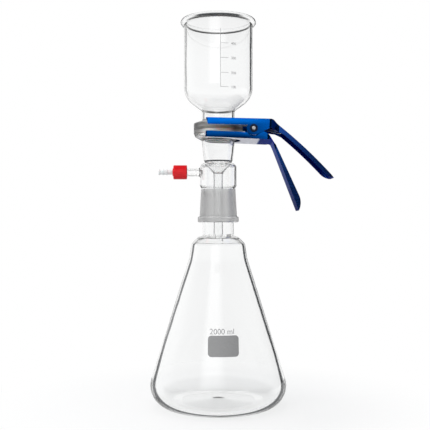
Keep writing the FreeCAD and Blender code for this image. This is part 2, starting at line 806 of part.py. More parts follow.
def crosswise(x, z):
    """Chooses the edges along Y at (x, z)."""
    def chosen(edge):
        box = edge.BoundBox
        level = box.XLength < 1e-3 and box.ZLength < 1e-3
        return level and abs(box.XMin - x) < 1e-3 and abs(box.ZMin - z) < 1e-3
    return chosen


def lever_block(name, side_points, half, end_x, tip_x, bend, bend_r, inset):
    """A solid with a lever's outline from the side and from above."""
    body = new_body(name)
    side = new_sketch(body, "side_sketch", "XZ_Plane")
    draw_outline(side, side_points)
    padded(body, "side", side, half * 2, symmetric=True)
    round_edges(body, "bend", bend_r, crosswise(bend[0].value, bend[1].value))
    cut_to_plan(body, half, end_x, tip_x, inset)
    return body


def finish_lever(body, hollow, half, lug_r, tilt):
    """Adds the lugs, hollows the block, cuts the fork and the pivot hole, and sets the lever at the pivot."""
    lug = new_sketch(body, "lug_sketch", "XZ_Plane")
    draw_circle(lug, ZERO, ZERO, lug_r)
    padded(body, "lug", lug, half * 2, symmetric=True)
    shell = body.newObject("PartDesign::Boolean", "hollow")
    shell.setObjects([hollow])
    shell.Type = "Cut"
    doc.recompute()
    round_fork_tips(body, half)
    slot = new_sketch(body, "fork_sketch", "XY_Plane")
    draw_outline(slot, [
        (-fork_x, -fork_r),
        (-fork_x, fork_r),
        (-dim.jaw_reach - EXTRA, fork_r),
        (-dim.jaw_reach - EXTRA, -fork_r),
    ])
    pocketed(body, "fork", slot, dim.jaw_reach * 2, symmetric=True)
    slot_end = new_sketch(body, "fork_end_sketch", "XY_Plane")
    draw_circle(slot_end, -fork_x, ZERO, fork_r)
    pocketed(body, "fork_end", slot_end, dim.jaw_reach * 2, symmetric=True)
    hole = new_sketch(body, "pivot_sketch", "XZ_Plane")
    draw_circle(hole, ZERO, ZERO, dim.pin_r + dim.pivot_hole_gap)
    pocketed(body, "pivot_hole", hole, half * 3, symmetric=True)
    body.Placement = Placement(Vector(), Rotation(Vector(0, 1, 0), tilt.value))
    body.setExpression("Placement.Rotation.Angle", tilt.text)
    place(body, x=dim.pivot_x, z=dim.pivot_z)


def curve_point(x, inset):
    """A point of the upper handle's long curve, moved inwards by inset."""
    radius = dim.upper_curve_r - inset
    run = Size.of(x) - dim.upper_curve_x
    return dim.upper_curve_z + root(radius * radius - run * run)


def plate_corner(inset):
    """Where the upper plate's face, moved inwards by inset, meets the handle's curve."""
    radius = dim.upper_curve_r - inset
    rise = dim.upper_plate - inset - dim.upper_curve_z
    return dim.upper_curve_x + root(radius * radius - rise * rise), dim.upper_plate - inset


def make_upper_lever():
    """Upper jaw and handle, folded from one sheet."""
    gauge = dim.sheet_gauge
    corner = plate_corner(ZERO)
    inner = plate_corner(gauge)
    tip_z = curve_point(dim.upper_tip_x, ZERO)
    outer = lever_block("clamp_upper_lever", [
        (-dim.jaw_reach, dim.upper_plate),
        (-dim.jaw_reach + dim.jaw_slant, dim.upper_edge),
        (-dim.upper_lug_r * dim.lug_start, dim.upper_edge),
        (ZERO, ZERO),
        (sin(dim.upper_web_angle) * dim.upper_lug_r, -cos(dim.upper_web_angle) * dim.upper_lug_r),
        (dim.upper_jaw_end_x, dim.upper_jaw_end_z),
        (dim.upper_neck_x, dim.upper_neck_z),
        (dim.upper_skirt_x, curve_point(dim.upper_skirt_x, dim.upper_skirt)),
        (dim.upper_skirt_end_x, curve_point(dim.upper_skirt_end_x, dim.upper_skirt),
         -(dim.upper_curve_r - dim.upper_skirt)),
        (dim.upper_tip_x, tip_z, dim.handle_tip_round),
        (corner[0], corner[1], dim.upper_curve_r),
    ], upper_half, dim.upper_jaw_end_x, dim.upper_tip_x, corner, dim.bend_r, ZERO)
    far_x = dim.upper_tip_x + EXTRA
    deep = -dim.upper_tip_x
    hollow = lever_block("clamp_upper_hollow", [
        (-dim.jaw_reach - EXTRA, dim.upper_plate - gauge),
        (-dim.jaw_reach - EXTRA, deep),
        (far_x, deep),
        (far_x, curve_point(far_x, gauge)),
        (inner[0], inner[1], dim.upper_curve_r - gauge),
    ], upper_half - gauge, dim.upper_jaw_end_x, far_x, inner, dim.bend_r - gauge, gauge)
    finish_lever(outer, hollow, upper_half, dim.upper_lug_r, dim.upper_tilt)
    round_handle_end(outer, dim.upper_tip_x)
    return outer


def lower_point(along, inset):
    """A point beside the lower handle's outer face: along it from the bend, and inset from it."""
    x = dim.lower_bend_x + cos(dim.lower_turn) * along + sin(dim.lower_turn) * inset
    z = -dim.lower_plate - sin(dim.lower_turn) * along + cos(dim.lower_turn) * inset
    return x, z


def make_lower_lever():
    """Lower jaw and handle, folded from one sheet; it lies inside the upper lever at the pivot."""
    gauge = dim.sheet_gauge
    bend = (dim.lower_bend_x, -dim.lower_plate)
    inner_x = dim.lower_bend_x + gauge * tan(dim.lower_turn / 2)
    inner = (inner_x, -dim.lower_plate + gauge)
    tip = lower_point(dim.lower_length, ZERO)
    skirt_start = lower_point(dim.lower_skirt_from, dim.lower_skirt_start)
    skirt_end = lower_point(dim.lower_skirt_to, dim.lower_skirt)
    outer = lever_block("clamp_lower_lever", [
        (-dim.jaw_reach, -dim.lower_plate),
        bend,
        tip,
        (skirt_end[0], skirt_end[1], dim.handle_tip_round),
        skirt_start,
        (dim.lower_jaw_end_x, -dim.lower_jaw_end_z),
        (dim.lower_lug_r * dim.lug_start, ZERO),
        (-dim.lower_lug_r * dim.lug_start / 2, -dim.lower_edge),
        (-dim.jaw_reach, -dim.lower_edge),
    ], lower_half, dim.lower_jaw_end_x, tip[0], bend, dim.bend_r - gauge, ZERO)
    beyond = lower_point(dim.lower_length + EXTRA, gauge)
    far_x = tip[0] + dim.handle_half
    high = dim.lower_plate * 2
    hollow = lever_block("clamp_lower_hollow", [
        (-dim.jaw_reach - EXTRA, -dim.lower_plate + gauge),
        inner,
        beyond,
        (far_x, beyond[1]),
        (far_x, high),
        (-dim.jaw_reach - EXTRA, high),
    ], lower_half - gauge, dim.lower_jaw_end_x, far_x, inner, dim.bend_r, gauge)
    finish_lever(outer, hollow, lower_half, dim.lower_lug_r, dim.lower_tilt)
    return outer


def make_pivot_pin():
    body = new_body("pivot_pin")
    sketch = new_sketch(body, "pin_sketch", "XZ_Plane")
    draw_circle(sketch, ZERO, ZERO, dim.pin_r)
    padded(body, "pin", sketch, (upper_half + dim.ring_gap + dim.pin_stand_out) * 2, symmetric=True)
    round_edges(body, "ends", dim.pin_round, lambda edge: isinstance(edge.Curve, Part.Circle))
    place(body, x=dim.pivot_x, z=dim.pivot_z)
    return body


def make_retaining_ring(name, side):
    """Push-on ring of spring steel: a flat rim and six fingers that lean outwards and grip the pin."""
    body = new_body(name)
    grip_r = dim.pin_r + GRIP
    turned(body, "dish", [
        (grip_r, dim.ring_rise),
        (dim.ring_rim_r, ZERO),
        (dim.ring_r, ZERO),
        (dim.ring_r, dim.ring_gauge),
        (dim.ring_rim_r, dim.ring_gauge),
        (grip_r, dim.ring_rise + dim.ring_gauge),
    ])
    notch = new_sketch(body, "notch_sketch", "XY_Plane")
    half = dim.ring_notch / 2
    draw_outline(notch, [
        (ZERO, -half),
        (dim.ring_rim_r, -half),
        (dim.ring_rim_r, half),
        (ZERO, half),
    ])
    cut = pocketed(body, "notch", notch, dim.ring_r * 2, symmetric=True)
    pattern = body.newObject("PartDesign::PolarPattern", "notches")
    pattern.Originals = [cut]
    pattern.Axis = (origin_feature(body, "Z_Axis"), [""])
    pattern.Angle = 360
    pattern.setExpression("Occurrences", dim.ring_notches.text)
    body.Tip = pattern
    body.Placement = Placement(Vector(), Rotation(Vector(1, 0, 0), -90 * side))
    reach = (upper_half + dim.ring_gap) * side
    place(body, x=dim.pivot_x, y=reach, z=dim.pivot_z)
    return body


def wire_frame(body, name, angle, extra, height):
    """A sketch turned about the Y axis, its origin where a wire leaves the coil at the given height."""
    full = angle + extra
    turn = Placement(Vector(), Rotation(Vector(0, 1, 0), full.value))
    sketch = new_sketch(body, name, "XY_Plane", turn=turn)
    sketch.setExpression("AttachmentOffset.Rotation.Angle", full.text)
    sketch.setExpression("AttachmentOffset.Base.x", (sin(angle) * height).text)
    sketch.setExpression("AttachmentOffset.Base.z", (cos(angle) * height).text)
    return sketch


def draw_loop_path(path, y):
    """The middle loop's centre line: straight out from the coil, then round to the middle plane."""
    bend = dim.loop_round
    straight = dim.loop_reach - bend
    corner_y = y - bend
    half_chord = math.sin(math.pi / 4) * bend.value
    start = Vector(0, y.value, 0)
    first = Vector(straight.value, y.value, 0)
    middle = Vector(straight.value + half_chord, corner_y.value + half_chord, 0)
    second = Vector(dim.loop_reach.value, corner_y.value, 0)
    path.addGeometry(Part.LineSegment(start, first), False)
    path.addGeometry(Part.Arc(first, middle, second), False)
    path.addGeometry(Part.LineSegment(second, Vector(dim.loop_reach.value, 0, 0)), False)
    path.addConstraint(Sketcher.Constraint("Coincident", 1, 2, 0, 2))
    path.addConstraint(Sketcher.Constraint("Coincident", 1, 1, 2, 1))
    index = path.addConstraint(Sketcher.Constraint("Radius", 1, bend.value))
    path.setExpression(f"Constraints[{index}]", bend.text)
    pin_point(path, 0, 1, ZERO, y)
    pin_point(path, 0, 2, straight, y)
    pin_point(path, 2, 1, dim.loop_reach, corner_y)
    pin_point(path, 2, 2, dim.loop_reach, ZERO)


def make_torsion_spring():
    """Double torsion spring: a middle loop under the upper handle, two coils and legs on the lower plate.

    Each coil is drawn as the closed tube that its turns fill.
    """
    body = new_body("torsion_spring")
    coil = new_sketch(body, "coil_sketch", "XZ_Plane", offset=-dim.coil_inner_y)
    draw_circle(coil, ZERO, ZERO, dim.coil_r + dim.wire_r + dim.coil_skin)
    draw_circle(coil, ZERO, ZERO, dim.coil_r - dim.wire_r - dim.coil_skin)
    tube = padded(body, "coil", coil, dim.coil_length, reverse=True)
    loop_y = dim.coil_inner_y + dim.wire_r + dim.wire_inset
    path = wire_frame(body, "loop_path", dim.loop_angle, ZERO, dim.coil_r)
    draw_loop_path(path, loop_y)
    section = wire_frame(body, "loop_section", dim.loop_angle, Size.of(90), dim.coil_r)
    draw_circle(section, ZERO, loop_y, dim.wire_r)
    loop = body.newObject("PartDesign::AdditivePipe", "loop")
    loop.Profile = section
    loop.Spine = path
    doc.recompute()
    leg_y = dim.coil_inner_y + dim.coil_length - dim.wire_r - dim.wire_inset
    end = wire_frame(body, "leg_section", dim.leg_angle, Size.of(90), -dim.coil_r)
    draw_circle(end, ZERO, leg_y, dim.wire_r)
    leg = padded(body, "leg", end, dim.leg_reach)
    mirror = body.newObject("PartDesign::Mirrored", "other_half")
    mirror.Originals = [tube, loop, leg]
    mirror.MirrorPlane = (origin_feature(body, "XZ_Plane"), [""])
    body.Tip = mirror
    doc.recompute()
    place(body, x=dim.pivot_x, z=dim.pivot_z)
    return body


# ---------------------------------------------------------------- build, check and write

pieces = [
    make_flask(),
    make_filter_base(),
    make_frit_disc(),
    make_funnel(),
    make_screw_cap(),
    make_hose_nozzle(),
    make_nozzle_seal(),
    make_upper_lever(),
    make_lower_lever(),
    make_pivot_pin(),
    make_retaining_ring("retaining_ring_front", -1),
    make_retaining_ring("retaining_ring_rear", 1),
    make_torsion_spring(),
]
doc.recompute()

failed = [item.Label for item in doc.Objects if {"Invalid", "Error"} & set(item.State)]
if failed:
    raise RuntimeError(f"features that did not build: {failed}")
for piece in pieces:
    if piece.Shape.isNull() or not piece.Shape.isValid():
        raise RuntimeError(f"{piece.Label} has no valid shape")
for piece in pieces:
    piece.Shape.exportStep(f"parts/{piece.Label}.step")
    box = piece.Shape.BoundBox
    print(f"{piece.Label}: {len(piece.Shape.Solids)} solid, {piece.Shape.Volume / 1000:.2f} cm3, "
          f"{box.XLength:.1f} x {box.YLength:.1f} x {box.ZLength:.1f} mm, foot at z {box.ZMin:.1f}")
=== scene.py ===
# %% [markdown]
# # A glass filtration unit with a spring clamp
# The measured model is loaded first and stays as it is. Every place and size below is read from it,
# so a finish or an added piece always sits where the real one does. Lengths are metres, +Z is up,
# the clamp's handles point to +X and the side arm points to -X.

# %% Load the frame
import json
import math

import bmesh
import bpy
from mathutils import Matrix, Vector


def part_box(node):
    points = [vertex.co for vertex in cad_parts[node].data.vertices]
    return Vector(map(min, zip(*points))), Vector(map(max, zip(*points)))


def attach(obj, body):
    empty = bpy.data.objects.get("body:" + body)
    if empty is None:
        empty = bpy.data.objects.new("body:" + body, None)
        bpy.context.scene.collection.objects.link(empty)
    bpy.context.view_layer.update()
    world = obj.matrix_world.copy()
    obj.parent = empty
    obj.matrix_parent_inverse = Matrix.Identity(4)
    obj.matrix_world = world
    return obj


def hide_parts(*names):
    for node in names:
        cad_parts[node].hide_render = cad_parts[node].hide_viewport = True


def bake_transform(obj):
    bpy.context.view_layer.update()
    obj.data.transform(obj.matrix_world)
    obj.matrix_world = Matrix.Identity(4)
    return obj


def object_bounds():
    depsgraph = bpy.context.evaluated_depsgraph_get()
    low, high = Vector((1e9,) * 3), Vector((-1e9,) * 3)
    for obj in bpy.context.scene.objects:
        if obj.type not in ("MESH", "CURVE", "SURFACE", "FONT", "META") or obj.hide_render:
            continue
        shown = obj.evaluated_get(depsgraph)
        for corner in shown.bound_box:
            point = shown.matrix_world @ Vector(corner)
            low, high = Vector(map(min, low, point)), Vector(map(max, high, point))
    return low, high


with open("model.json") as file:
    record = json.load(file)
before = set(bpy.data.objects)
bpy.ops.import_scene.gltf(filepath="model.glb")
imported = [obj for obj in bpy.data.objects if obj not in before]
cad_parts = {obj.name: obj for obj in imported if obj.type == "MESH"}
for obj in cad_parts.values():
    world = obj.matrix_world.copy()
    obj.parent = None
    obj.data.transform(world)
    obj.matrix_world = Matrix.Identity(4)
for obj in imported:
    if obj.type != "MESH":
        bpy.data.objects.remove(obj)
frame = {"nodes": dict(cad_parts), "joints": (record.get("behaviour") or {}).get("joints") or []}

MM = 0.001
nodes = frame["nodes"]
cad_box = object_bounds()
pivot = Vector(next(joint["pos_m"] for joint in frame["joints"] if joint["name"] == "clamp_open"))
print("nodes:", ", ".join(sorted(nodes)))

# %% [markdown]
# ## Heights that the finishes share
# Ground glass, prints and threads start and stop at real edges: the ends of the ground joint, the
# plane where funnel and base meet, the axis of the side arm. They are taken from the nodes' boxes,
# and the few lengths inside the glass that no box shows are named first.

# %% Heights from the frame
JOINT_LENGTH = 39.5 * MM
GROUND_END = 1.6 * MM
NECK_LENGTH = 58.5 * MM
CROWN_DEPTH = 59.3 * MM
SEAL_DEPTH = 42.2 * MM
_, flask_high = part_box("flask")
base_low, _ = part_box("filter_base")
funnel_low, funnel_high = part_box("funnel")
nozzle_low, nozzle_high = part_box("hose_nozzle")
joint_top = flask_high.z
joint_foot = joint_top - JOINT_LENGTH
mating_plane = funnel_low.z
rim_height = funnel_high.z
arm_height = (nozzle_low.z + nozzle_high.z) / 2
arm_end = base_low.x
crown_height = joint_top - CROWN_DEPTH
seal_height = mating_plane - SEAL_DEPTH
print(f"joint {joint_foot:.4f} to {joint_top:.4f}")
print(f"mating plane {mating_plane:.4f}, side arm {arm_height:.4f}")

# %% [markdown]
# ## A studio for glass
# Clear glass has no colour of its own: it shows what is behind it and what it mirrors. So the floor
# and the surroundings are white to the eye, to mirrors and to light that has passed through glass,
# while the light that falls on the object stays at a plain level. Light Path tells these rays apart.

# %% Helpers for node trees
def add_node(tree, kind, **settings):
    """A new node, with its own settings and the fixed values of its sockets given by name."""
    node = tree.nodes.new(kind)
    for name, value in settings.items():
        if hasattr(node, name):
            setattr(node, name, value)
        else:
            node.inputs[name].default_value = value
    return node


def join(tree, source, target):
    tree.links.new(source, target)


def feed(tree, value, target):
    """Join a socket to the target, or put a fixed value on it."""
    if isinstance(value, bpy.types.NodeSocket):
        join(tree, value, target)
    else:
        target.default_value = value


def calculate(tree, operation, *values):
    """The result of a Math node on sockets or numbers."""
    node = add_node(tree, "ShaderNodeMath", operation=operation)
    for value, target in zip(values, node.inputs):
        feed(tree, value, target)
    return node.outputs[0]


def multiply(tree, product, *others):
    """The product of two or more masks or numbers."""
    for other in others:
        product = calculate(tree, "MULTIPLY", product, other)
    return product


def vectors(tree, operation, *values):
    """The result of a Vector Math node on sockets or fixed vectors: a number or a vector."""
    node = add_node(tree, "ShaderNodeVectorMath", operation=operation)
    for value, target in zip(values, node.inputs):
        feed(tree, value, target)
    return node.outputs["Value" if operation in ("LENGTH", "DOT_PRODUCT") else "Vector"]


def split(tree, vector):
    """The parts of a vector, by the names X, Y and Z."""
    parts = add_node(tree, "ShaderNodeSeparateXYZ")
    join(tree, vector, parts.inputs[0])
    return parts.outputs


def fade(tree, value, start, end, low, high):
    """A number that runs smoothly from low to high while value runs from start to end."""
    ramp = add_node(tree, "ShaderNodeMapRange", interpolation_type="SMOOTHSTEP")
    for name, setting in (("Value", value), ("From Min", start), ("From Max", end),
                          ("To Min", low), ("To Max", high)):
        feed(tree, setting, ramp.inputs[name])
    return ramp.outputs["Result"]


def between(tree, share, first, second):
    """A number that is first where share is 0 and second where it is 1."""
    mix = add_node(tree, "ShaderNodeMix", data_type="FLOAT")
    for value, target in ((share, mix.inputs[0]), (first, mix.inputs[2]), (second, mix.inputs[3])):
        feed(tree, value, target)
    return mix.outputs[0]


def mix_colour(tree, share, first, second):
    """A colour that is first where share is 0 and second where it is 1."""
    mix = add_node(tree, "ShaderNodeMix", data_type="RGBA")
    for value, target in ((share, mix.inputs[0]), (first, mix.inputs[6]), (second, mix.inputs[7])):
        feed(tree, value, target)
    return mix.outputs[2]


def mix_shaders(tree, share, first, second):
    mix = add_node(tree, "ShaderNodeMixShader")
    for value, target in zip((share, first, second), mix.inputs):
        join(tree, value, target)
    return mix.outputs[0]


def own_place(tree):
    """A point's place in the piece's own coordinates."""
    return add_node(tree, "ShaderNodeTexCoord").outputs["Object"]


def turned_away(tree):
    """0 where a face is seen square on, 1 at its outline."""
    return add_node(tree, "ShaderNodeLayerWeight", Blend=0.5).outputs["Facing"]


def ray_kinds(tree):
    return add_node(tree, "ShaderNodeLightPath").outputs


def seen_ray(tree):
    """1 for rays that show the surroundings: straight to the camera, mirrored or through glass."""
    rays = ray_kinds(tree)
    indirect = calculate(tree, "MAXIMUM", rays["Is Glossy Ray"], rays["Is Transmission Ray"])
    return calculate(tree, "MAXIMUM", rays["Is Camera Ray"], indirect)


# %% Helpers for objects and materials
def add_object(name, data):
    thing = bpy.data.objects.new(name, data)
    bpy.context.collection.objects.link(thing)
    return thing


def mesh_object(shape, name, material):
    """Turn a bmesh into an object with one material."""
    mesh = bpy.data.meshes.new(name)
    shape.to_mesh(mesh)
    shape.free()
    mesh.materials.append(material)
    return add_object(name, mesh)


def empty_material(name):
    material = bpy.data.materials.new(name)
    material.use_nodes = True
    material.node_tree.nodes.clear()
    return material, material.node_tree


def show(tree, surface):
    """Make a shader's result the surface of its material."""
    join(tree, surface, add_node(tree, "ShaderNodeOutputMaterial").inputs["Surface"])


def new_material(name, settings):
    """A material with one shader, whose fixed values are given by name."""
    material, tree = empty_material(name)
    shader = add_node(tree, "ShaderNodeBsdfPrincipled", **settings)
    show(tree, shader.outputs[0])
    return material, tree, shader


def give(thing, material):
    thing.data.materials.clear()
    thing.data.materials.append(material)


# %% The surroundings
WHITE = (1.0, 1.0, 1.0, 1.0)
SKY_LIGHT = (0.95, 0.97, 1.0, 1.0)
CEILING, MIRRORED_CEILING, FROSTED_SKY = 0.03, 0.50, 0.90
FRONT, LEFT, RIGHT = 0.12, 1.0, 0.15


def make_world(light_level):
    """White all round with a dark ceiling; mirrors see a paler ceiling and a dimmer front and right.

    Only clear glass shows the dark ceiling: light that a ground face scatters comes from all sides.
    """
    world = bpy.data.worlds.new("studio")
    bpy.context.scene.world = world
    world.use_nodes = True
    world.cycles.sampling_method = "NONE"
    tree = world.node_tree
    tree.nodes.clear()
    direction = split(tree, add_node(tree, "ShaderNodeTexCoord").outputs["Generated"])
    ceiling = fade(tree, direction["Z"], 0.20, 0.55, 1.0, CEILING)
    mirrored_ceiling = fade(tree, direction["Z"], 0.15, 0.50, 1.0, MIRRORED_CEILING)
    front = fade(tree, direction["Y"], -0.35, 0.35, FRONT, 1.0)
    side = fade(tree, direction["X"], -0.5, 0.5, LEFT, RIGHT)
    rays = ray_kinds(tree)
    through = between(tree, rays["Is Singular Ray"], FROSTED_SKY, ceiling)
    mirrored = multiply(tree, front, side, mirrored_ceiling)
    result = add_node(tree, "ShaderNodeBackground", Color=SKY_LIGHT, Strength=light_level).outputs[0]
    for ray, strength in (("Is Glossy Ray", mirrored), ("Is Transmission Ray", through),
                          ("Is Camera Ray", 1.0)):
        sky = add_node(tree, "ShaderNodeBackground", Color=WHITE)
        feed(tree, strength, sky.inputs["Strength"])
        result = mix_shaders(tree, rays[ray], result, sky.outputs[0])
    join(tree, result, add_node(tree, "ShaderNodeOutputWorld").inputs["Surface"])


make_world(light_level=0.55)
print("surroundings: white, with a dark ceiling for clear glass")

# %% The floor
FAR_BACK = 0.22


def make_floor(side, contact_radius, shadow_share):
    """White to the eye, dimmer in mirrors in front and far behind; the object's shadow is on it."""
    shape = bmesh.new()
    bmesh.ops.create_grid(shape, x_segments=1, y_segments=1, size=side / 2)
    material, tree = empty_material("white_floor")
    floor = mesh_object(shape, "floor", material)
    place = own_place(tree)
    white = fade(tree, vectors(tree, "LENGTH", place), 0.4 * contact_radius, contact_radius,
                 1.0 - shadow_share, 1.0)
    along = split(tree, place)["Y"]
    front = fade(tree, along, -0.9, 0.2, FRONT, 1.0)
    back = fade(tree, along, 0.8, 2.2, 1.0, FAR_BACK)
    rays = ray_kinds(tree)
    mirror = calculate(tree, "SUBTRACT", rays["Is Glossy Ray"], rays["Is Transmission Ray"])
    mirror = calculate(tree, "MAXIMUM", mirror, 0.0)
    paint = add_node(tree, "ShaderNodeBsdfDiffuse", Color=(0.80, 0.80, 0.80, 1.0))
    glow = add_node(tree, "ShaderNodeEmission", Color=WHITE)
    join(tree, between(tree, mirror, 1.0, multiply(tree, front, back)), glow.inputs["Strength"])
    shown = multiply(tree, seen_ray(tree), white)
    show(tree, mix_shaders(tree, shown, paint.outputs[0], glow.outputs[0]))


make_floor(side=12.0, contact_radius=0.30, shadow_share=0.35)
print("floor: white, with a soft shadow")

# %% Lamps and camera
SOFT_SIDE, SOFT_FOOT = 0.45, 0.10
CAMERA_DISTANCE, CAMERA_HEIGHT, CAMERA_SIDESTEP = 0.930, 0.225, -0.004
SENSOR_WIDTH, FOCAL_LENGTH, LENS_RISE = 36.0, 63.4, 0.0163


def add_lamp(name, place, target, size, power):
    """A soft lamp for the painted and moulded faces; what mirrors show comes from the room."""
    lamp = bpy.data.lights.new(name, "AREA")
    lamp.shape = "DISK"
    lamp.size = size
    lamp.energy = power
    thing = add_object(name, lamp)
    thing.location = place
    thing.rotation_euler = (Vector(target) - Vector(place)).to_track_quat("-Z", "Y").to_euler()
    thing.visible_glossy = False
    thing.visible_transmission = False


def add_softbox(low, high, distance, radiance):
    """A lit panel on the camera's side that only mirrors see, with soft edges: it lights the jaws."""
    shape = bmesh.new()
    corners = [(low[0], low[1]), (high[0], low[1]), (high[0], high[1]), (low[0], high[1])]
    bmesh.ops.contextual_create(shape, geom=[shape.verts.new((x, -distance, z)) for x, z in corners])
    material, tree = empty_material("softbox_light")
    panel = mesh_object(shape, "softbox", material)
    place = split(tree, own_place(tree))
    left = fade(tree, place["X"], low[0], low[0] + SOFT_SIDE, 0.0, 1.0)
    right = fade(tree, place["X"], high[0] - SOFT_SIDE, high[0], 1.0, 0.0)
    foot = fade(tree, place["Z"], low[1], low[1] + SOFT_FOOT, 0.0, radiance)
    glow = add_node(tree, "ShaderNodeEmission")
    join(tree, multiply(tree, left, right, foot), glow.inputs["Strength"])
    show(tree, glow.outputs[0])
    for ray in ("camera", "diffuse", "transmission", "shadow"):
        setattr(panel, "visible_" + ray, False)


middle = (cad_box[0] + cad_box[1]) / 2
add_lamp("key_lamp", (-0.75, -1.15, 1.0), middle, 0.9, 14.0)
add_lamp("top_lamp", (-0.1, 0.1, 1.6), middle, 0.8, 10.0)
add_softbox(low=(-0.85, 0.41), high=(0.35, 1.0), distance=1.1, radiance=2.5)
camera = add_object("camera", bpy.data.cameras.new("camera"))
camera.location = (CAMERA_SIDESTEP, -CAMERA_DISTANCE, CAMERA_HEIGHT)
camera.rotation_euler = (math.radians(90), 0.0, 0.0)
camera.data.sensor_width = SENSOR_WIDTH
camera.data.lens = FOCAL_LENGTH
camera.data.shift_y = LENS_RISE
bpy.context.scene.camera = camera
bpy.context.scene.view_settings.view_transform = "Standard"
print("studio: two soft lamps, a softbox that only mirrors see, one camera")

# %% [markdown]
# ## Masks for ground glass
# Where two glass parts meet, their faces are ground: matt, white and slightly rough. The ground zone
# is a band between two heights and two radii about the glass axis, so one node group makes it for
# every glass part, from the piece's own coordinates.

# %% Group: band about the glass axis
LEVEL = (1.0, 1.0, 0.0)


def make_band_group():
    """1 between two heights and two radii; each edge fades over the softness above its limit."""
    group = bpy.data.node_groups.new("ground_band", "ShaderNodeTree")
    for name in ("Low", "High", "Inner", "Outer", "Softness"):
        group.interface.new_socket(name, in_out="INPUT", socket_type="NodeSocketFloat")
    group.interface.new_socket("Mask", in_out="OUTPUT", socket_type="NodeSocketFloat")
    limits = group.nodes.new("NodeGroupInput").outputs
    place = own_place(group)
    height = split(group, place)["Z"]
    radius = vectors(group, "LENGTH", vectors(group, "MULTIPLY", place, LEVEL))
    mask = 1.0
    for value, name, before, after in ((height, "Low", 0.0, 1.0), (height, "High", 1.0, 0.0),
                                       (radius, "Inner", 0.0, 1.0), (radius, "Outer", 1.0, 0.0)):
        soft_end = calculate(group, "ADD", limits[name], limits["Softness"])
        mask = multiply(group, mask, fade(group, value, limits[name], soft_end, before, after))
    join(group, mask, group.nodes.new("NodeGroupOutput").inputs["Mask"])
    return group


ground_band = make_band_group()

# %% Group: fine grain
def make_grain_group():
    """Fine mottling for roughness and for the height of a bump."""
    group = bpy.data.node_groups.new("fine_grain", "ShaderNodeTree")
    for name, kind in (("Scale", "Float"), ("Stretch", "Vector"), ("Low", "Float"), ("High", "Float")):
        group.interface.new_socket(name, in_out="INPUT", socket_type="NodeSocket" + kind)
    for name in ("Value", "Height"):
        group.interface.new_socket(name, in_out="OUTPUT", socket_type="NodeSocketFloat")
    settings = group.nodes.new("NodeGroupInput").outputs
    results = group.nodes.new("NodeGroupOutput").inputs
    noise = add_node(group, "ShaderNodeTexNoise", Detail=3.0, Roughness=0.6)
    stretched = vectors(group, "MULTIPLY", own_place(group), settings["Stretch"])
    join(group, stretched, noise.inputs["Vector"])
    join(group, settings["Scale"], noise.inputs["Scale"])
    spread = add_node(group, "ShaderNodeMapRange")
    spread.inputs["From Min"].default_value = 0.3
    spread.inputs["From Max"].default_value = 0.7
    join(group, noise.outputs["Fac"], spread.inputs["Value"])
    join(group, settings["Low"], spread.inputs["To Min"])
    join(group, settings["High"], spread.inputs["To Max"])
    join(group, spread.outputs["Result"], results["Value"])
    join(group, noise.outputs["Fac"], results["Height"])
    return group


fine_grain = make_grain_group()


def add_grain(tree, scale, low, high, stretch=(1.0, 1.0, 1.0)):
    return add_node(tree, "ShaderNodeGroup", node_tree=fine_grain,
                    Scale=scale, Stretch=stretch, Low=low, High=high)


def texture(tree, shader, scale, low, high, depth, stretch=(1.0, 1.0, 1.0)):
    """Fine grain over a surface: its roughness runs from low to high, and its bump is depth high."""
    grain = add_grain(tree, scale, low, high, stretch)
    join(tree, grain.outputs["Value"], shader.inputs["Roughness"])
    bump = add_node(tree, "ShaderNodeBump", Strength=1.0, Distance=depth)
    join(tree, grain.outputs["Height"], bump.inputs["Height"])
    join(tree, bump.outputs["Normal"], shader.inputs["Normal"])


print("node groups:", ", ".join(group.name for group in bpy.data.node_groups))

# %% [markdown]
# ## Clear glass, ground where parts meet
# Borosilicate glass is clear face on and dark at its rims, where the light runs a long way along the
# wall. The wall's own thickness is in the mesh, so refraction does most of it. Painted shade does the
# rest: a dark line where the wall's inner face turns away, dark rings where the glass is thick and
# below the clamp, and grey on the ground flanges' sides and seam.

# %% Clear glass
GLASS_CLEAR = (0.985, 0.988, 0.988, 1.0)
# Painted shade: the colour of the dark line along a wall's outline and of the dark rings, fainter on
# the filter base.
DARK_RIM_SHADE = (0.008, 0.009, 0.010, 1.0)
FAINT_RIM_SHADE = (0.02, 0.02, 0.022, 1.0)
GLASS_GROUND = (0.935, 0.935, 0.935, 1.0)
# Painted shade on ground glass: grey at its outline, darker grey on a flange's side, darkest at the
# base flange's seam.
GROUND_EDGE_SHADE = (0.845, 0.845, 0.85, 1.0)
FLANGE_SIDE_SHADE = (0.38, 0.375, 0.37, 1.0)
FLANGE_SEAM_SHADE = (0.11, 0.105, 0.10, 1.0)
SHADOW_TINT = (0.93, 0.94, 0.94, 1.0)
THIN_GLASS = 0.30
GROUND_SOFTNESS = 0.3 * MM


def ground_mask(tree, bands):
    """1 inside any of the bands, each (low, high, inner radius, outer radius); 0 with no bands."""
    mask = 0.0
    for limits in bands:
        zone = add_node(tree, "ShaderNodeGroup", node_tree=ground_band)
        for name, value in zip(("Low", "High", "Inner", "Outer"), limits):
            zone.inputs[name].default_value = value
        zone.inputs["Softness"].default_value = GROUND_SOFTNESS
        mask = calculate(tree, "MAXIMUM", mask, zone.outputs["Mask"])
    return mask


def seen_first(tree):
    """1 where the eye looks straight at a face."""
    return ray_kinds(tree)["Is Camera Ray"]


def seen_through(tree):
    """1 where light that has already crossed some glass meets a face from the air side."""
    surface = add_node(tree, "ShaderNodeNewGeometry")
    from_air = fade(tree, surface.outputs["Backfacing"], 0.0, 1.0, 1.0, 0.0)
    return multiply(tree, from_air, ray_kinds(tree)["Is Transmission Ray"])


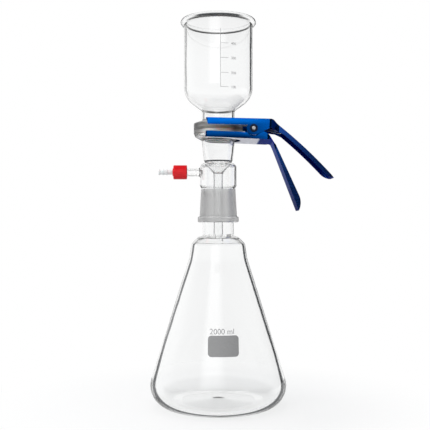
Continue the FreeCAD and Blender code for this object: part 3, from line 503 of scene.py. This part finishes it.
def outline_depth(tree, radius):
    """How far a point of a round wall lies behind its outline, from the angle that it turns away."""
    angle = calculate(tree, "ARCCOSINE", calculate(tree, "SUBTRACT", 1.0, turned_away(tree)))
    offset = multiply(tree, radius, calculate(tree, "SINE", angle))
    waves = add_grain(tree, 28.0, -0.35 * MM, 0.35 * MM)
    return calculate(tree, "ADD", calculate(tree, "SUBTRACT", radius, offset), waves.outputs["Value"])


def wall_edge(tree, wall, line, reach=0.1, heel=1.0, calm=1.0, below=(-0.995, -0.965), stem=0.0,
              thin_side=1.0):
    """1 along the line where a round wall's inner face turns away, seen from outside.

    1 along the line where a round wall's inner face turns away, seen from outside: the dark line of
    painted shade.
    Nothing further from the glass axis than reach is marked. The wall is heel times as thick at the
    foot. Above the height calm the line is faint, and it fades out where the wall faces down more
    than below says. A stem, a tube within that radius, has its own line behind other glass. It is
    thinner on the side arm's side, where its line keeps thin_side of its strength.
    """
    place = own_place(tree)
    parts = split(tree, place)
    flat = vectors(tree, "MULTIPLY", place, LEVEL)
    radius = vectors(tree, "LENGTH", flat)
    normal = add_node(tree, "ShaderNodeNewGeometry").outputs["Normal"]
    up = split(tree, normal)["Z"]
    depth = multiply(tree, outline_depth(tree, radius),
                     fade(tree, parts["Z"], 0.015, 0.080, 1.0 / heel, 1.0))
    seen = seen_first(tree)
    side = fade(tree, parts["X"], -wall, wall, thin_side, 1.0)
    if stem:
        in_stem = fade(tree, radius, stem, stem + 1.0 * MM, 1.0, 0.0)
        depth = multiply(tree, depth, fade(tree, in_stem, 0.0, 1.0, 1.0, 1.8))
        outwards = vectors(tree, "DOT_PRODUCT", flat, normal)
        in_stem = multiply(tree, in_stem, fade(tree, outwards, -0.1 * MM, 0.1 * MM, 0.0, 1.0))
        seen = calculate(tree, "MAXIMUM", seen, multiply(tree, in_stem, seen_through(tree)))
        side = fade(tree, in_stem, 0.0, 1.0, side, 1.0)
    start, end = line
    soft = 0.25 * wall
    starts = fade(tree, depth, start * wall - soft, start * wall, 0.0, 1.0)
    ends = fade(tree, depth, end * wall, end * wall + soft, 1.0, 0.0)
    not_above = fade(tree, up, 0.45, 0.85, 1.0, 0.0)
    not_below = fade(tree, up, *below, 0.0, 1.0)
    near = fade(tree, radius, reach - 0.5 * MM, reach, 1.0, 0.0)
    strong = fade(tree, parts["Z"], calm - 2.0 * MM, calm, 1.0, 0.15)
    return multiply(tree, seen, starts, ends, not_above, not_below, near, strong, side)


def ground_colour(tree, flanges, joints, seams):
    """White ground glass with painted shade: greyer where it turns away, more on a flange's side, most
    at its seam.
    """
    away = turned_away(tree)
    colour = mix_colour(tree, fade(tree, away, 0.05, 0.65, 0.0, 1.0), GLASS_GROUND, GROUND_EDGE_SHADE)
    if flanges:
        outline = fade(tree, away, 0.12, 0.45, 0.0, 1.0)
        grey = multiply(tree, ground_mask(tree, flanges), outline)
        grey = calculate(tree, "MAXIMUM", grey, ground_mask(tree, joints))
        up = split(tree, add_node(tree, "ShaderNodeNewGeometry").outputs["Normal"])["Z"]
        upright = fade(tree, calculate(tree, "ABSOLUTE", up), 0.3, 0.9, 1.0, 0.0)
        colour = mix_colour(tree, multiply(tree, grey, upright), colour, FLANGE_SIDE_SHADE)
    return mix_colour(tree, ground_mask(tree, seams), colour, FLANGE_SEAM_SHADE)


def make_glass(name, rim, edge, bands=(), near_rings=(), far_rings=(), flanges=(), joints=(),
               seams=(), thin=(), ring_turn=(2.0, 3.0)):
    """Clear glass with painted shade: a dark line near the walls' outline and dark rings; with ground
    bands.

    flanges are ground bands whose sides get grey painted shade towards the outline, and joints the
    part of them that is painted grey all round, with seams the part of a joint where the painted shade
    is darkest. Thin bands are faint, as thin blown glass is. near_rings are painted dark where they
    are seen first, far_rings where they are seen through other glass; both fade out where the surface
    turns away by ring_turn.
    """
    material, tree = empty_material(name)
    shader = add_node(tree, "ShaderNodeBsdfPrincipled", **{"Transmission Weight": 1.0, "IOR": 1.47})
    # Painted shade: the rim colour along the line where the wall turns away from the eye.
    colour = mix_colour(tree, wall_edge(tree, **edge), GLASS_CLEAR, rim)
    # Painted shade: dark rings, seen first or through other glass.
    for rings, seen in ((near_rings, seen_first), (far_rings, seen_through)):
        if rings:
            shown = fade(tree, turned_away(tree), *ring_turn, 1.0, 0.0)
            ring = multiply(tree, ground_mask(tree, rings), seen(tree), shown)
            colour = mix_colour(tree, ring, colour, DARK_RIM_SHADE)
    mask = ground_mask(tree, (*bands, *flanges))
    colour = mix_colour(tree, mask, colour, ground_colour(tree, flanges, joints, seams))
    join(tree, colour, shader.inputs["Base Color"])
    if thin:
        clear = fade(tree, ground_mask(tree, thin), 0.0, 1.0, 1.0, THIN_GLASS)
        join(tree, clear, shader.inputs["Alpha"])
    grain = add_grain(tree, 2500.0, 0.28, 0.42)
    join(tree, multiply(tree, mask, grain.outputs["Value"]), shader.inputs["Roughness"])
    passing = add_node(tree, "ShaderNodeBsdfTransparent", Color=SHADOW_TINT)
    shadow_ray = ray_kinds(tree)["Is Shadow Ray"]
    show(tree, mix_shaders(tree, shadow_ray, shader.outputs[0], passing.outputs[0]))
    return material


def band(datum, low, high, inner, outer):
    """A band from low to high above a height and from inner to outer radius, all in millimetres."""
    return (datum + low * MM, datum + high * MM, inner * MM, outer * MM)


ground_top = joint_top - GROUND_END
neck_foot = joint_top - NECK_LENGTH
flask_glass = make_glass(
    # Painted shade: the dark line along the wall's outline, and grey where the ground joint turns
    # away.
    "flask_glass", DARK_RIM_SHADE,
    edge={"wall": 3.0 * MM, "line": (0.66, 1.22), "heel": 1.9, "calm": neck_foot},
    bands=[(joint_foot, ground_top, 17.2 * MM, 20.6 * MM)],
    thin=[band(crown_height, -3.8, 2.8, 16.0, 26.0)])
base_glass = make_glass(
    "filter_base_glass", FAINT_RIM_SHADE,
    edge={"wall": 2.0 * MM, "line": (0.62, 1.18), "reach": 24.0 * MM, "stem": 15.0 * MM,
          "thin_side": 0.3},
    bands=[(base_low.z, ground_top, 17.2 * MM, 26.0 * MM),
           band(mating_plane, -3.2, 0.4, 19.2, 31.0)],
    # Painted shade: dark rings at the seal, at the flange's foot and, seen through the glass, below
    # the lower jaw; grey on the flange, darkest at its seam.
    near_rings=[band(seal_height, 0.3, 2.2, 15.8, 18.2),
                band(mating_plane, -15.6, -13.8, 19.5, 24.0)],
    far_rings=[band(mating_plane, -13.2, -10.8, 22.0, 29.5)],
    flanges=[band(mating_plane, -8.0, 0.4, 27.5, 31.0)],
    seams=[band(mating_plane, -3.4, 0.4, 27.5, 31.0)],
    thin=[band(seal_height, -5.0, 0.2, 12.0, 21.5),
          band(arm_height, -6.0, 6.0, 23.5, 50.0)])
funnel_glass = make_glass(
    "funnel_glass", DARK_RIM_SHADE,
    edge={"wall": 2.4 * MM, "line": (0.65, 1.20), "below": (-0.60, -0.15), "thin_side": 0.85},
    # Painted shade: dark rings at the rim's bead, and grey on the flange's side and all round its
    # joint.
    near_rings=[band(rim_height, -5.4, -3.3, 43.0, 50.0)],
    far_rings=[band(rim_height, -7.0, -6.2, 38.0, 41.5),
               band(rim_height, -1.5, 0.3, 38.0, 44.0)],
    flanges=[band(mating_plane, -0.4, 9.0, 21.5, 31.0)],
    joints=[band(mating_plane, -0.4, 9.0, 26.0, 31.0)],
    ring_turn=(0.14, 0.30))
give(nodes["flask"], flask_glass)
give(nodes["filter_base"], base_glass)
give(nodes["funnel"], funnel_glass)
print("glass: flask, filter base and funnel")

# %% Sintered glass
def make_sintered_glass():
    material, tree, shader = new_material("sintered_glass", {
        "Base Color": (0.86, 0.86, 0.84, 1.0), "Subsurface Weight": 0.3})
    texture(tree, shader, 1400.0, 0.65, 0.95, 0.3 * MM)
    return material


give(nodes["frit_disc"], make_sintered_glass())
print("sintered glass: frit disc")

# %% Plastics and silicone
def make_moulded(name, colour, rough_low, rough_high, inner_glow=0.0):
    """Injection-moulded plastic: a fine spark-eroded grain under a slight gloss."""
    material, tree, shader = new_material(name, {
        "Base Color": colour, "Coat Roughness": 0.15, "Subsurface Weight": inner_glow,
        "Subsurface Radius": (0.004, 0.003, 0.003)})
    texture(tree, shader, 1800.0, rough_low, rough_high, 0.03 * MM)
    return material


red_plastic = make_moulded("red_plastic", (0.66, 0.002, 0.008, 1.0), 0.38, 0.50)
white_plastic = make_moulded("white_plastic", (0.66, 0.67, 0.67, 1.0), 0.35, 0.5, inner_glow=0.4)
silicone = make_moulded("silicone", (0.72, 0.70, 0.66, 1.0), 0.45, 0.6, inner_glow=0.3)
give(nodes["screw_cap"], red_plastic)
give(nodes["hose_nozzle"], white_plastic)
give(nodes["nozzle_seal"], silicone)
print("plastics: screw cap, hose nozzle and its seal")

# %% Anodised sheet
# Painted reflection: the pale bench as the jaws' undersides would mirror it.
PAINTED_REFLECTION = (0.86, 0.86, 0.95, 1.0)
DEEP_DYE = (0.0, 0.13, 0.62, 1.0)
PALE_DYE = (0.002, 0.16, 0.70, 1.0)
# Painted shade: the navy that the handles get.
NAVY_HANDLE_SHADE = (0.03, 0.13, 0.60, 1.0)
# Painted shade: the colour where no light is left.
DARKEST_SHADE = (0.0, 0.0, 0.004, 1.0)
# Painted shadow: the share of light left in the ring where the other lever's lug shades the lower
# lever.
LUG_SHADOW_LEVEL = 0.35


def painted_underside_reflection(tree, along):
    """1 where the jaw's underside is looked along, where a painted reflection of the pale bench goes.
    """
    up = split(tree, add_node(tree, "ShaderNodeNewGeometry").outputs["Normal"])["Z"]
    under = fade(tree, up, -0.95, -0.85, 1.0, 0.0)
    grazing = fade(tree, turned_away(tree), 0.72, 0.86, 0.0, 1.0)
    jaw = fade(tree, along, pivot.x + 5.0 * MM, pivot.x + 9.0 * MM, 1.0, 0.0)
    return multiply(tree, under, grazing, jaw)


def make_anodised(name, foot, head, depth, jaw_share, handle_share, lug_shadow=()):
    """Blue anodised aluminium: dyed oxide over rolled sheet, with faint rolling lines.

    Over the dyed colour goes painted shade. On the jaws it is darkest at the height foot, where depth
    of the light is left, and lightest at head, both above the pivot; the jaws keep jaw_share of the
    light in all, and the handles, painted more navy as shade, handle_share. lug_shadow is the ring
    about the pivot where a painted shadow of the other lever's lug lies. Where a jaw's underside is
    looked along, a painted reflection of the pale bench takes the place of the metal.
    """
    material, tree, shader = new_material(name, {
        "Metallic": 1.0, "Specular Tint": (0.10, 0.17, 0.45, 1.0)})
    place = own_place(tree)
    parts = split(tree, place)
    handle = fade(tree, parts["X"], 0.056, 0.078, 0.0, 1.0)
    dye_and_shade = mix_colour(tree, add_grain(tree, 60.0, 0.0, 1.0).outputs["Value"], DEEP_DYE, PALE_DYE)
    # Painted shade: the handles turn navy.
    dye_and_shade = mix_colour(tree, handle, dye_and_shade, NAVY_HANDLE_SHADE)
    # Painted shade: darker towards the height foot near the jaws, towards the jaws' tips and on the
    # handles.
    foot_light = fade(tree, parts["X"], 0.030, 0.070, depth, 1.0)
    light = multiply(tree, fade(tree, parts["Z"], pivot.z + foot, pivot.z + head, foot_light, 1.0),
                     fade(tree, parts["X"], 0.010, 0.045, jaw_share, 1.0),
                     fade(tree, handle, 0.0, 1.0, 1.0, handle_share))
    # Painted shadow of the other lever's lug: a ring about the pivot.
    if lug_shadow:
        across = vectors(tree, "MULTIPLY", vectors(tree, "SUBTRACT", place, pivot), (1.0, 0.0, 1.0))
        light = multiply(tree, light, fade(tree, vectors(tree, "LENGTH", across), *lug_shadow, LUG_SHADOW_LEVEL, 1.0))
    # Painted reflection on the jaw's underside, which is not metal there.
    reflection_share = painted_underside_reflection(tree, parts["X"])
    colour = mix_colour(tree, reflection_share, mix_colour(tree, light, DARKEST_SHADE, dye_and_shade), PAINTED_REFLECTION)
    join(tree, colour, shader.inputs["Base Color"])
    join(tree, fade(tree, reflection_share, 0.0, 1.0, 1.0, 0.0), shader.inputs["Metallic"])
    texture(tree, shader, 900.0, 0.18, 0.28, 0.01 * MM, stretch=(0.06, 1.0, 1.0))
    return material


upper_anodised = make_anodised("upper_anodised", 2.5 * MM, 9.0 * MM, 0.28, 0.88, 0.85)
lower_anodised = make_anodised("lower_anodised", -11.5 * MM, -4.5 * MM, 0.14, 0.50, 0.75,
                               # The ring of the upper lug's painted shadow on the lower lever.
                               lug_shadow=(8.6 * MM, 10.2 * MM))
print("anodised sheet: upper and lower lever")

# %% [markdown]
# ## Folded levers
# Each lever is one sheet of aluminium, stamped and folded. A fold is never a knife edge: outside it
# has the radius of the press, and the stamped edges are tumbled until they catch a thin line of
# light. The measured levers have sharp folds, so each is copied, its loose triangles are merged and
# joined into flat faces, and two bevels round it: a wide one on the folds, a fine one on the rest.

# %% Helpers for finished pieces
MERGE_DISTANCE = 0.002 * MM
FLAT_ANGLE = 0.5


def put_in_order(items, place):
    """Sort a bmesh's corners, edges or faces by place, so that each run gives the same list."""
    ranks = {item: rank for rank, item in enumerate(sorted(items, key=place))}
    items.sort(key=ranks.get)


def finish_mesh(shape, name, material, sharp_angle=35.0):
    """Turn a bmesh into a piece: normals outwards, smooth faces, creases kept."""
    bmesh.ops.recalc_face_normals(shape, faces=shape.faces)
    put_in_order(shape.verts, lambda vertex: vertex.co[:])
    put_in_order(shape.edges, lambda edge: sorted(vertex.co[:] for vertex in edge.verts))
    put_in_order(shape.faces, lambda face: sorted(vertex.co[:] for vertex in face.verts))
    piece = mesh_object(shape, name, material)
    piece.data.shade_smooth()
    piece.data.set_sharp_from_angle(angle=math.radians(sharp_angle))
    return piece


def merged_copy(node):
    """A node's shape with its loose triangles merged and joined into flat faces."""
    shape = bmesh.new()
    shape.from_mesh(node.data)
    bmesh.ops.remove_doubles(shape, verts=shape.verts, dist=MERGE_DISTANCE)
    bmesh.ops.dissolve_limit(shape, angle_limit=math.radians(FLAT_ANGLE), verts=shape.verts,
                             edges=shape.edges)
    return shape


def sharp_edges(shape, least_angle):
    """Edges that stick out, with an angle of more than least_angle degrees between their faces."""
    least = math.radians(least_angle)
    return [edge for edge in shape.edges
            if edge.is_manifold and edge.is_convex and edge.calc_face_angle() > least]


# %% Round the folds and the stamped edges
FOLD_SIZE, FOLD_CUTS = 1.9 * MM, 5
STAMPED_SIZE, STAMPED_CUTS = 0.22 * MM, 2


def fold_edges(shape, plate_side):
    """Edges where a lever's outer sides meet its plate, which faces up (1) or down (-1)."""
    folds = []
    for edge in sharp_edges(shape, 50.0):
        across = (edge.verts[0].co.y + edge.verts[1].co.y) / 2
        plate, side = sorted(edge.link_faces, key=lambda face: abs(face.normal.z), reverse=True)
        level = plate.normal.z * plate_side > 0.35 and abs(plate.normal.y) < 0.3
        if level and side.normal.y * across > 0.3 * abs(across):
            folds.append(edge)
    return folds


def round_edges(shape, edges, size, cuts):
    bmesh.ops.bevel(shape, geom=edges, offset=size, offset_type="OFFSET", segments=cuts, profile=0.5,
                    affect="EDGES", clamp_overlap=True, material=-1)


def make_folded_lever(node_name, name, plate_side, body, material):
    shape = merged_copy(nodes[node_name])
    folds = fold_edges(shape, plate_side)
    round_edges(shape, folds, FOLD_SIZE, FOLD_CUTS)
    stamped = sharp_edges(shape, 40.0)
    round_edges(shape, stamped, STAMPED_SIZE, STAMPED_CUTS)
    print(f"{name}: {len(folds)} fold edges, {len(stamped)} stamped edges, {len(shape.faces)} faces")
    piece = finish_mesh(shape, name, material)
    weighted = piece.modifiers.new("weighted", "WEIGHTED_NORMAL")
    weighted.keep_sharp = True
    weighted.weight = 80
    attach(piece, body)
    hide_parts(node_name)


make_folded_lever("clamp_upper_lever", "upper_lever_sheet", 1, "upper_jaw", upper_anodised)
make_folded_lever("clamp_lower_lever", "lower_lever_sheet", -1, "glassware", lower_anodised)

# %% Steel
def make_steel(name, colour, rough_low, rough_high):
    material, tree, shader = new_material(name, {"Metallic": 1.0, "Base Color": colour})
    texture(tree, shader, 1500.0, rough_low, rough_high, 0.01 * MM)
    return material


plated = make_steel("plated_steel", (0.50, 0.50, 0.52, 1.0), 0.10, 0.20)
spring_steel = make_steel("spring_steel", (0.42, 0.42, 0.44, 1.0), 0.25, 0.4)
black_steel = make_steel("black_steel", (0.02, 0.02, 0.022, 1.0), 0.12, 0.22)
give(nodes["pivot_pin"], plated)
give(nodes["retaining_ring_front"], black_steel)
give(nodes["retaining_ring_rear"], black_steel)
print("materials:", len(bpy.data.materials))

# %% [markdown]
# ## The torsion spring
# A double torsion spring keeps the jaws shut. It is one steel wire: two coils round the pivot, a
# loop between them that presses on the upper handle, and a leg from each coil along the lower one.
# The measured model only holds the tube that each coil fills, so the wire itself is wound here. A
# round section is pushed along the leg, spun about the pivot with a small sideways step, pushed out
# along the loop and bent round its corner. Mirroring that half closes the loop.

# %% Sizes of the spring
WIRE_RADIUS, COIL_RADIUS = 0.9 * MM, 5.0 * MM
LEG_ANGLE, LEG_REACH = 18.2, 19.0 * MM
LOOP_ANGLE, LOOP_REACH, LOOP_ROUND = 10.6, 35.0 * MM, 2.4 * MM
COIL_INNER, COIL_OUTER = 8.05 * MM, 16.75 * MM
WHOLE_TURNS = 4
COIL_STEPS = 24 * WHOLE_TURNS + 11
ACROSS = Vector((0.0, 1.0, 0.0))


def slope(angle):
    """The direction towards the handles, angle degrees below level."""
    return Vector((math.cos(math.radians(angle)), 0.0, -math.sin(math.radians(angle))))


def push(shape, edges, step, cuts):
    """Push an open end along step in equal cuts; gives the new end's edges."""
    for _ in range(cuts):
        made = bmesh.ops.extrude_edge_only(shape, edges=edges)["geom"]
        points = [item for item in made if isinstance(item, bmesh.types.BMVert)]
        bmesh.ops.translate(shape, verts=points, vec=step / cuts)
        edges = [item for item in made
                 if isinstance(item, bmesh.types.BMEdge) and all(end in points for end in item.verts)]
    return edges


def turn(shape, edges, centre, axis, angle, steps, shift=Vector()):
    """Spin an open end about an axis, moving it along by shift in all; gives the new end's edges."""
    made = bmesh.ops.spin(shape, geom=edges, cent=centre, axis=axis, dvec=shift / steps,
                          angle=math.radians(angle), steps=steps, use_merge=False, use_duplicate=False)
    return [item for item in made["geom_last"] if isinstance(item, bmesh.types.BMEdge)]


# %% Wind the spring
def make_spring():
    shape = bmesh.new()
    leg, loop = slope(LEG_ANGLE), slope(LOOP_ANGLE)
    leg_end = pivot + ACROSS * COIL_OUTER + ACROSS.cross(leg) * COIL_RADIUS + leg * LEG_REACH
    section = Matrix.Translation(leg_end) @ leg.to_track_quat("Z", "Y").to_matrix().to_4x4()
    bmesh.ops.create_circle(shape, cap_ends=True, segments=12, radius=WIRE_RADIUS, matrix=section)
    edges = push(shape, shape.edges[:], leg * -LEG_REACH, 6)
    round_coil = 180.0 - LEG_ANGLE + LOOP_ANGLE + 360.0 * WHOLE_TURNS
    edges = turn(shape, edges, pivot, ACROSS, round_coil, COIL_STEPS,
                 ACROSS * (COIL_INNER - COIL_OUTER))
    edges = push(shape, edges, loop * (LOOP_REACH - LOOP_ROUND), 10)
    centre = sum((edge.verts[0].co for edge in edges), Vector()) / len(edges) - ACROSS * LOOP_ROUND
    edges = turn(shape, edges, centre, loop.cross(-ACROSS), 90.0, 6)
    push(shape, edges, ACROSS * (LOOP_ROUND - COIL_INNER), 3)
    bmesh.ops.mirror(shape, geom=shape.verts[:] + shape.edges[:] + shape.faces[:], axis="Y",
                     matrix=Matrix.Identity(4), merge_dist=0.01 * MM)
    bmesh.ops.remove_doubles(shape, verts=shape.verts, dist=0.005 * MM)
    return finish_mesh(shape, "wire_spring", spring_steel, sharp_angle=50.0)


wire_spring = make_spring()
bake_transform(wire_spring)
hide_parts("torsion_spring")
places = [vertex.co for vertex in wire_spring.data.vertices]
for label, corners in (("spring", [map(min, zip(*places)), map(max, zip(*places))]),
                       ("its node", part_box("torsion_spring"))):
    print(f"{label:9}", [[round(value, 4) for value in corner] for corner in corners])

# %% [markdown]
# ## The side arm's glass thread
# The cap screws onto a coarse rounded thread that is pressed into the hot glass. A short ridge
# section spun round the arm, with a step along it at every turn, gives that thread.

# %% Glass thread
THREAD_PITCH, THREAD_TURNS, THREAD_STEPS = 2.5 * MM, 2.75, 32
THREAD_SECTION = ((-0.95, 6.5), (-0.40, 7.0), (0.40, 7.0), (0.95, 6.5))


def make_arm_thread():
    shape = bmesh.new()
    start = arm_end + 1.2 * MM
    corners = [shape.verts.new((start + along * MM, 0.0, arm_height + out * MM))
               for along, out in THREAD_SECTION]
    ridge = bmesh.ops.contextual_create(shape, geom=corners)["faces"]
    bmesh.ops.spin(shape, geom=ridge, cent=(0.0, 0.0, arm_height), axis=(1.0, 0.0, 0.0),
                   dvec=(THREAD_PITCH / THREAD_STEPS, 0.0, 0.0),
                   angle=math.radians(360 * THREAD_TURNS), steps=round(THREAD_TURNS * THREAD_STEPS),
                   use_merge=False, use_duplicate=False)
    return finish_mesh(shape, "arm_thread", base_glass, sharp_angle=60.0)


arm_thread = make_arm_thread()
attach(arm_thread, "glassware")
print("arm thread:", len(arm_thread.data.polygons), "faces")

# %% [markdown]
# ## Enamel prints
# The flask carries a writing panel and its volume, the funnel a scale. They are enamel, screen
# printed and fired on, less than a tenth of a millimetre thick. Each print is drawn flat, given its
# thickness and then wrapped round the wall, so it follows the glass and has a real edge.

# %% Enamel
DARK_ENAMEL = (0.235, 0.235, 0.235, 1.0)
PALE_ENAMEL = (0.285, 0.285, 0.285, 1.0)
PRINT_THICKNESS, PRINT_GAP = 0.08 * MM, 0.05 * MM
CAPITAL_SHARE = 0.70


def make_enamel():
    material, tree, shader = new_material("enamel_print", {})
    tone = add_grain(tree, 900.0, 0.0, 1.0).outputs["Value"]
    join(tree, mix_colour(tree, tone, DARK_ENAMEL, PALE_ENAMEL), shader.inputs["Base Color"])
    texture(tree, shader, 2200.0, 0.45, 0.60, 0.02 * MM)
    return material


enamel = make_enamel()


def wall_radius(node, height):
    """How far the node's outer wall is from the glass axis at a height, measured from the front."""
    place = nodes[node].ray_cast((0.0, -1.0, height), (0.0, 1.0, 0.0))[1]
    return -place.y


def wrap_print(shape, name, node):
    """Wrap flat artwork, drawn in X and Z with its thickness towards -Y, round a node's front."""
    for vertex in shape.verts:
        wall = wall_radius(node, vertex.co.z)
        angle = vertex.co.x / wall
        radius = wall - vertex.co.y
        vertex.co = (radius * math.sin(angle), -radius * math.cos(angle), vertex.co.z)
    piece = finish_mesh(shape, name, enamel, sharp_angle=40.0)
    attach(piece, "glassware")
    print(f"{name}: {len(piece.data.polygons)} faces")


def add_bar(shape, left, right, low, high):
    """A flat printed bar."""
    corners = [(left, low), (right, low), (right, high), (left, high)]
    bmesh.ops.contextual_create(shape, geom=[shape.verts.new((x, 0.0, z)) for x, z in corners])


def cut_upright(shape, left, right, pitch):
    """Cut flat artwork along upright lines, pitch apart."""
    for count in range(1, int((right - left) / pitch) + 1):
        bmesh.ops.bisect_plane(shape, geom=shape.verts[:] + shape.edges[:] + shape.faces[:],
                               plane_co=(left + count * pitch, 0.0, 0.0), plane_no=(1.0, 0.0, 0.0))


def thicken(shape):
    """Give flat artwork the thickness of the enamel, just clear of the glass."""
    bmesh.ops.recalc_face_normals(shape, faces=shape.faces)
    bmesh.ops.solidify(shape, geom=shape.faces[:], thickness=PRINT_THICKNESS)
    nearest = max(vertex.co.y for vertex in shape.verts)
    bmesh.ops.translate(shape, verts=shape.verts, vec=(0.0, -nearest - PRINT_GAP, 0.0))


def add_text(shape, words, height, x, z):
    """Letters as a thin solid, height tall, with their middle at x and their foot at z."""
    curve = bpy.data.curves.new("letters", "FONT")
    curve.body = words
    curve.align_x = "CENTER"
    curve.size = height / CAPITAL_SHARE
    curve.extrude = PRINT_THICKNESS / 2
    words_object = add_object("letters", curve)
    solid = words_object.evaluated_get(bpy.context.evaluated_depsgraph_get())
    mesh = bpy.data.meshes.new_from_object(solid)
    letters = bmesh.new()
    letters.from_mesh(mesh)
    bmesh.ops.remove_doubles(letters, verts=letters.verts, dist=0.001 * MM)
    upright = Matrix.Rotation(math.radians(90), 4, "X")
    place = Matrix.Translation((x, -PRINT_THICKNESS / 2 - PRINT_GAP, z))
    bmesh.ops.transform(letters, matrix=place @ upright, verts=letters.verts)
    letters.to_mesh(mesh)
    letters.free()
    shape.from_mesh(mesh)
    bpy.data.objects.remove(words_object)


# %% The flask's panel and volume
PANEL_CORNER = 4.0 * MM


def make_panel():
    shape = bmesh.new()
    left, right, low, high = -12.2 * MM, 23.7 * MM, 71.5 * MM, 94.8 * MM
    add_bar(shape, left, right, low, high)
    bmesh.ops.bevel(shape, geom=shape.verts[:], offset=PANEL_CORNER, offset_type="OFFSET", segments=7,
                    profile=0.5, affect="VERTICES", clamp_overlap=True, material=-1)
    cut_upright(shape, left, right, 1.8 * MM)
    thicken(shape)
    wrap_print(shape, "writing_panel", "flask")


make_panel()
volume = bmesh.new()
add_text(volume, "2000 ml", 6.2 * MM, 4.2 * MM, 96.2 * MM)
wrap_print(volume, "flask_volume", "flask")

# %% The funnel's scale
SCALE_LINE, HALF_LINE, MARK_LENGTH = 2.6 * MM, 0.22 * MM, 9.3 * MM
HALF_MARK, FIGURE_HEIGHT, FIGURE_PLACE = 0.2, 3.0 * MM, 18.4 * MM
MARKS = ((384.1, "100"), (400.6, "200"), (418.1, "300"), (435.3, "400"))


def make_scale():
    """An upright line with a mark and a plain number at each height, in millimetres."""
    shape = bmesh.new()
    mark_end = SCALE_LINE + MARK_LENGTH
    add_bar(shape, SCALE_LINE - HALF_LINE, SCALE_LINE + HALF_LINE, 383.7 * MM, 452.6 * MM)
    for height, _ in MARKS:
        add_bar(shape, SCALE_LINE + HALF_LINE, mark_end, (height - HALF_MARK) * MM,
                (height + HALF_MARK) * MM)
    cut_upright(shape, SCALE_LINE + 0.3 * MM, mark_end, 1.5 * MM)
    thicken(shape)
    for height, number in MARKS:
        add_text(shape, number, FIGURE_HEIGHT, FIGURE_PLACE, (height - 1.5) * MM)
    wrap_print(shape, "funnel_scale", "funnel")


make_scale()
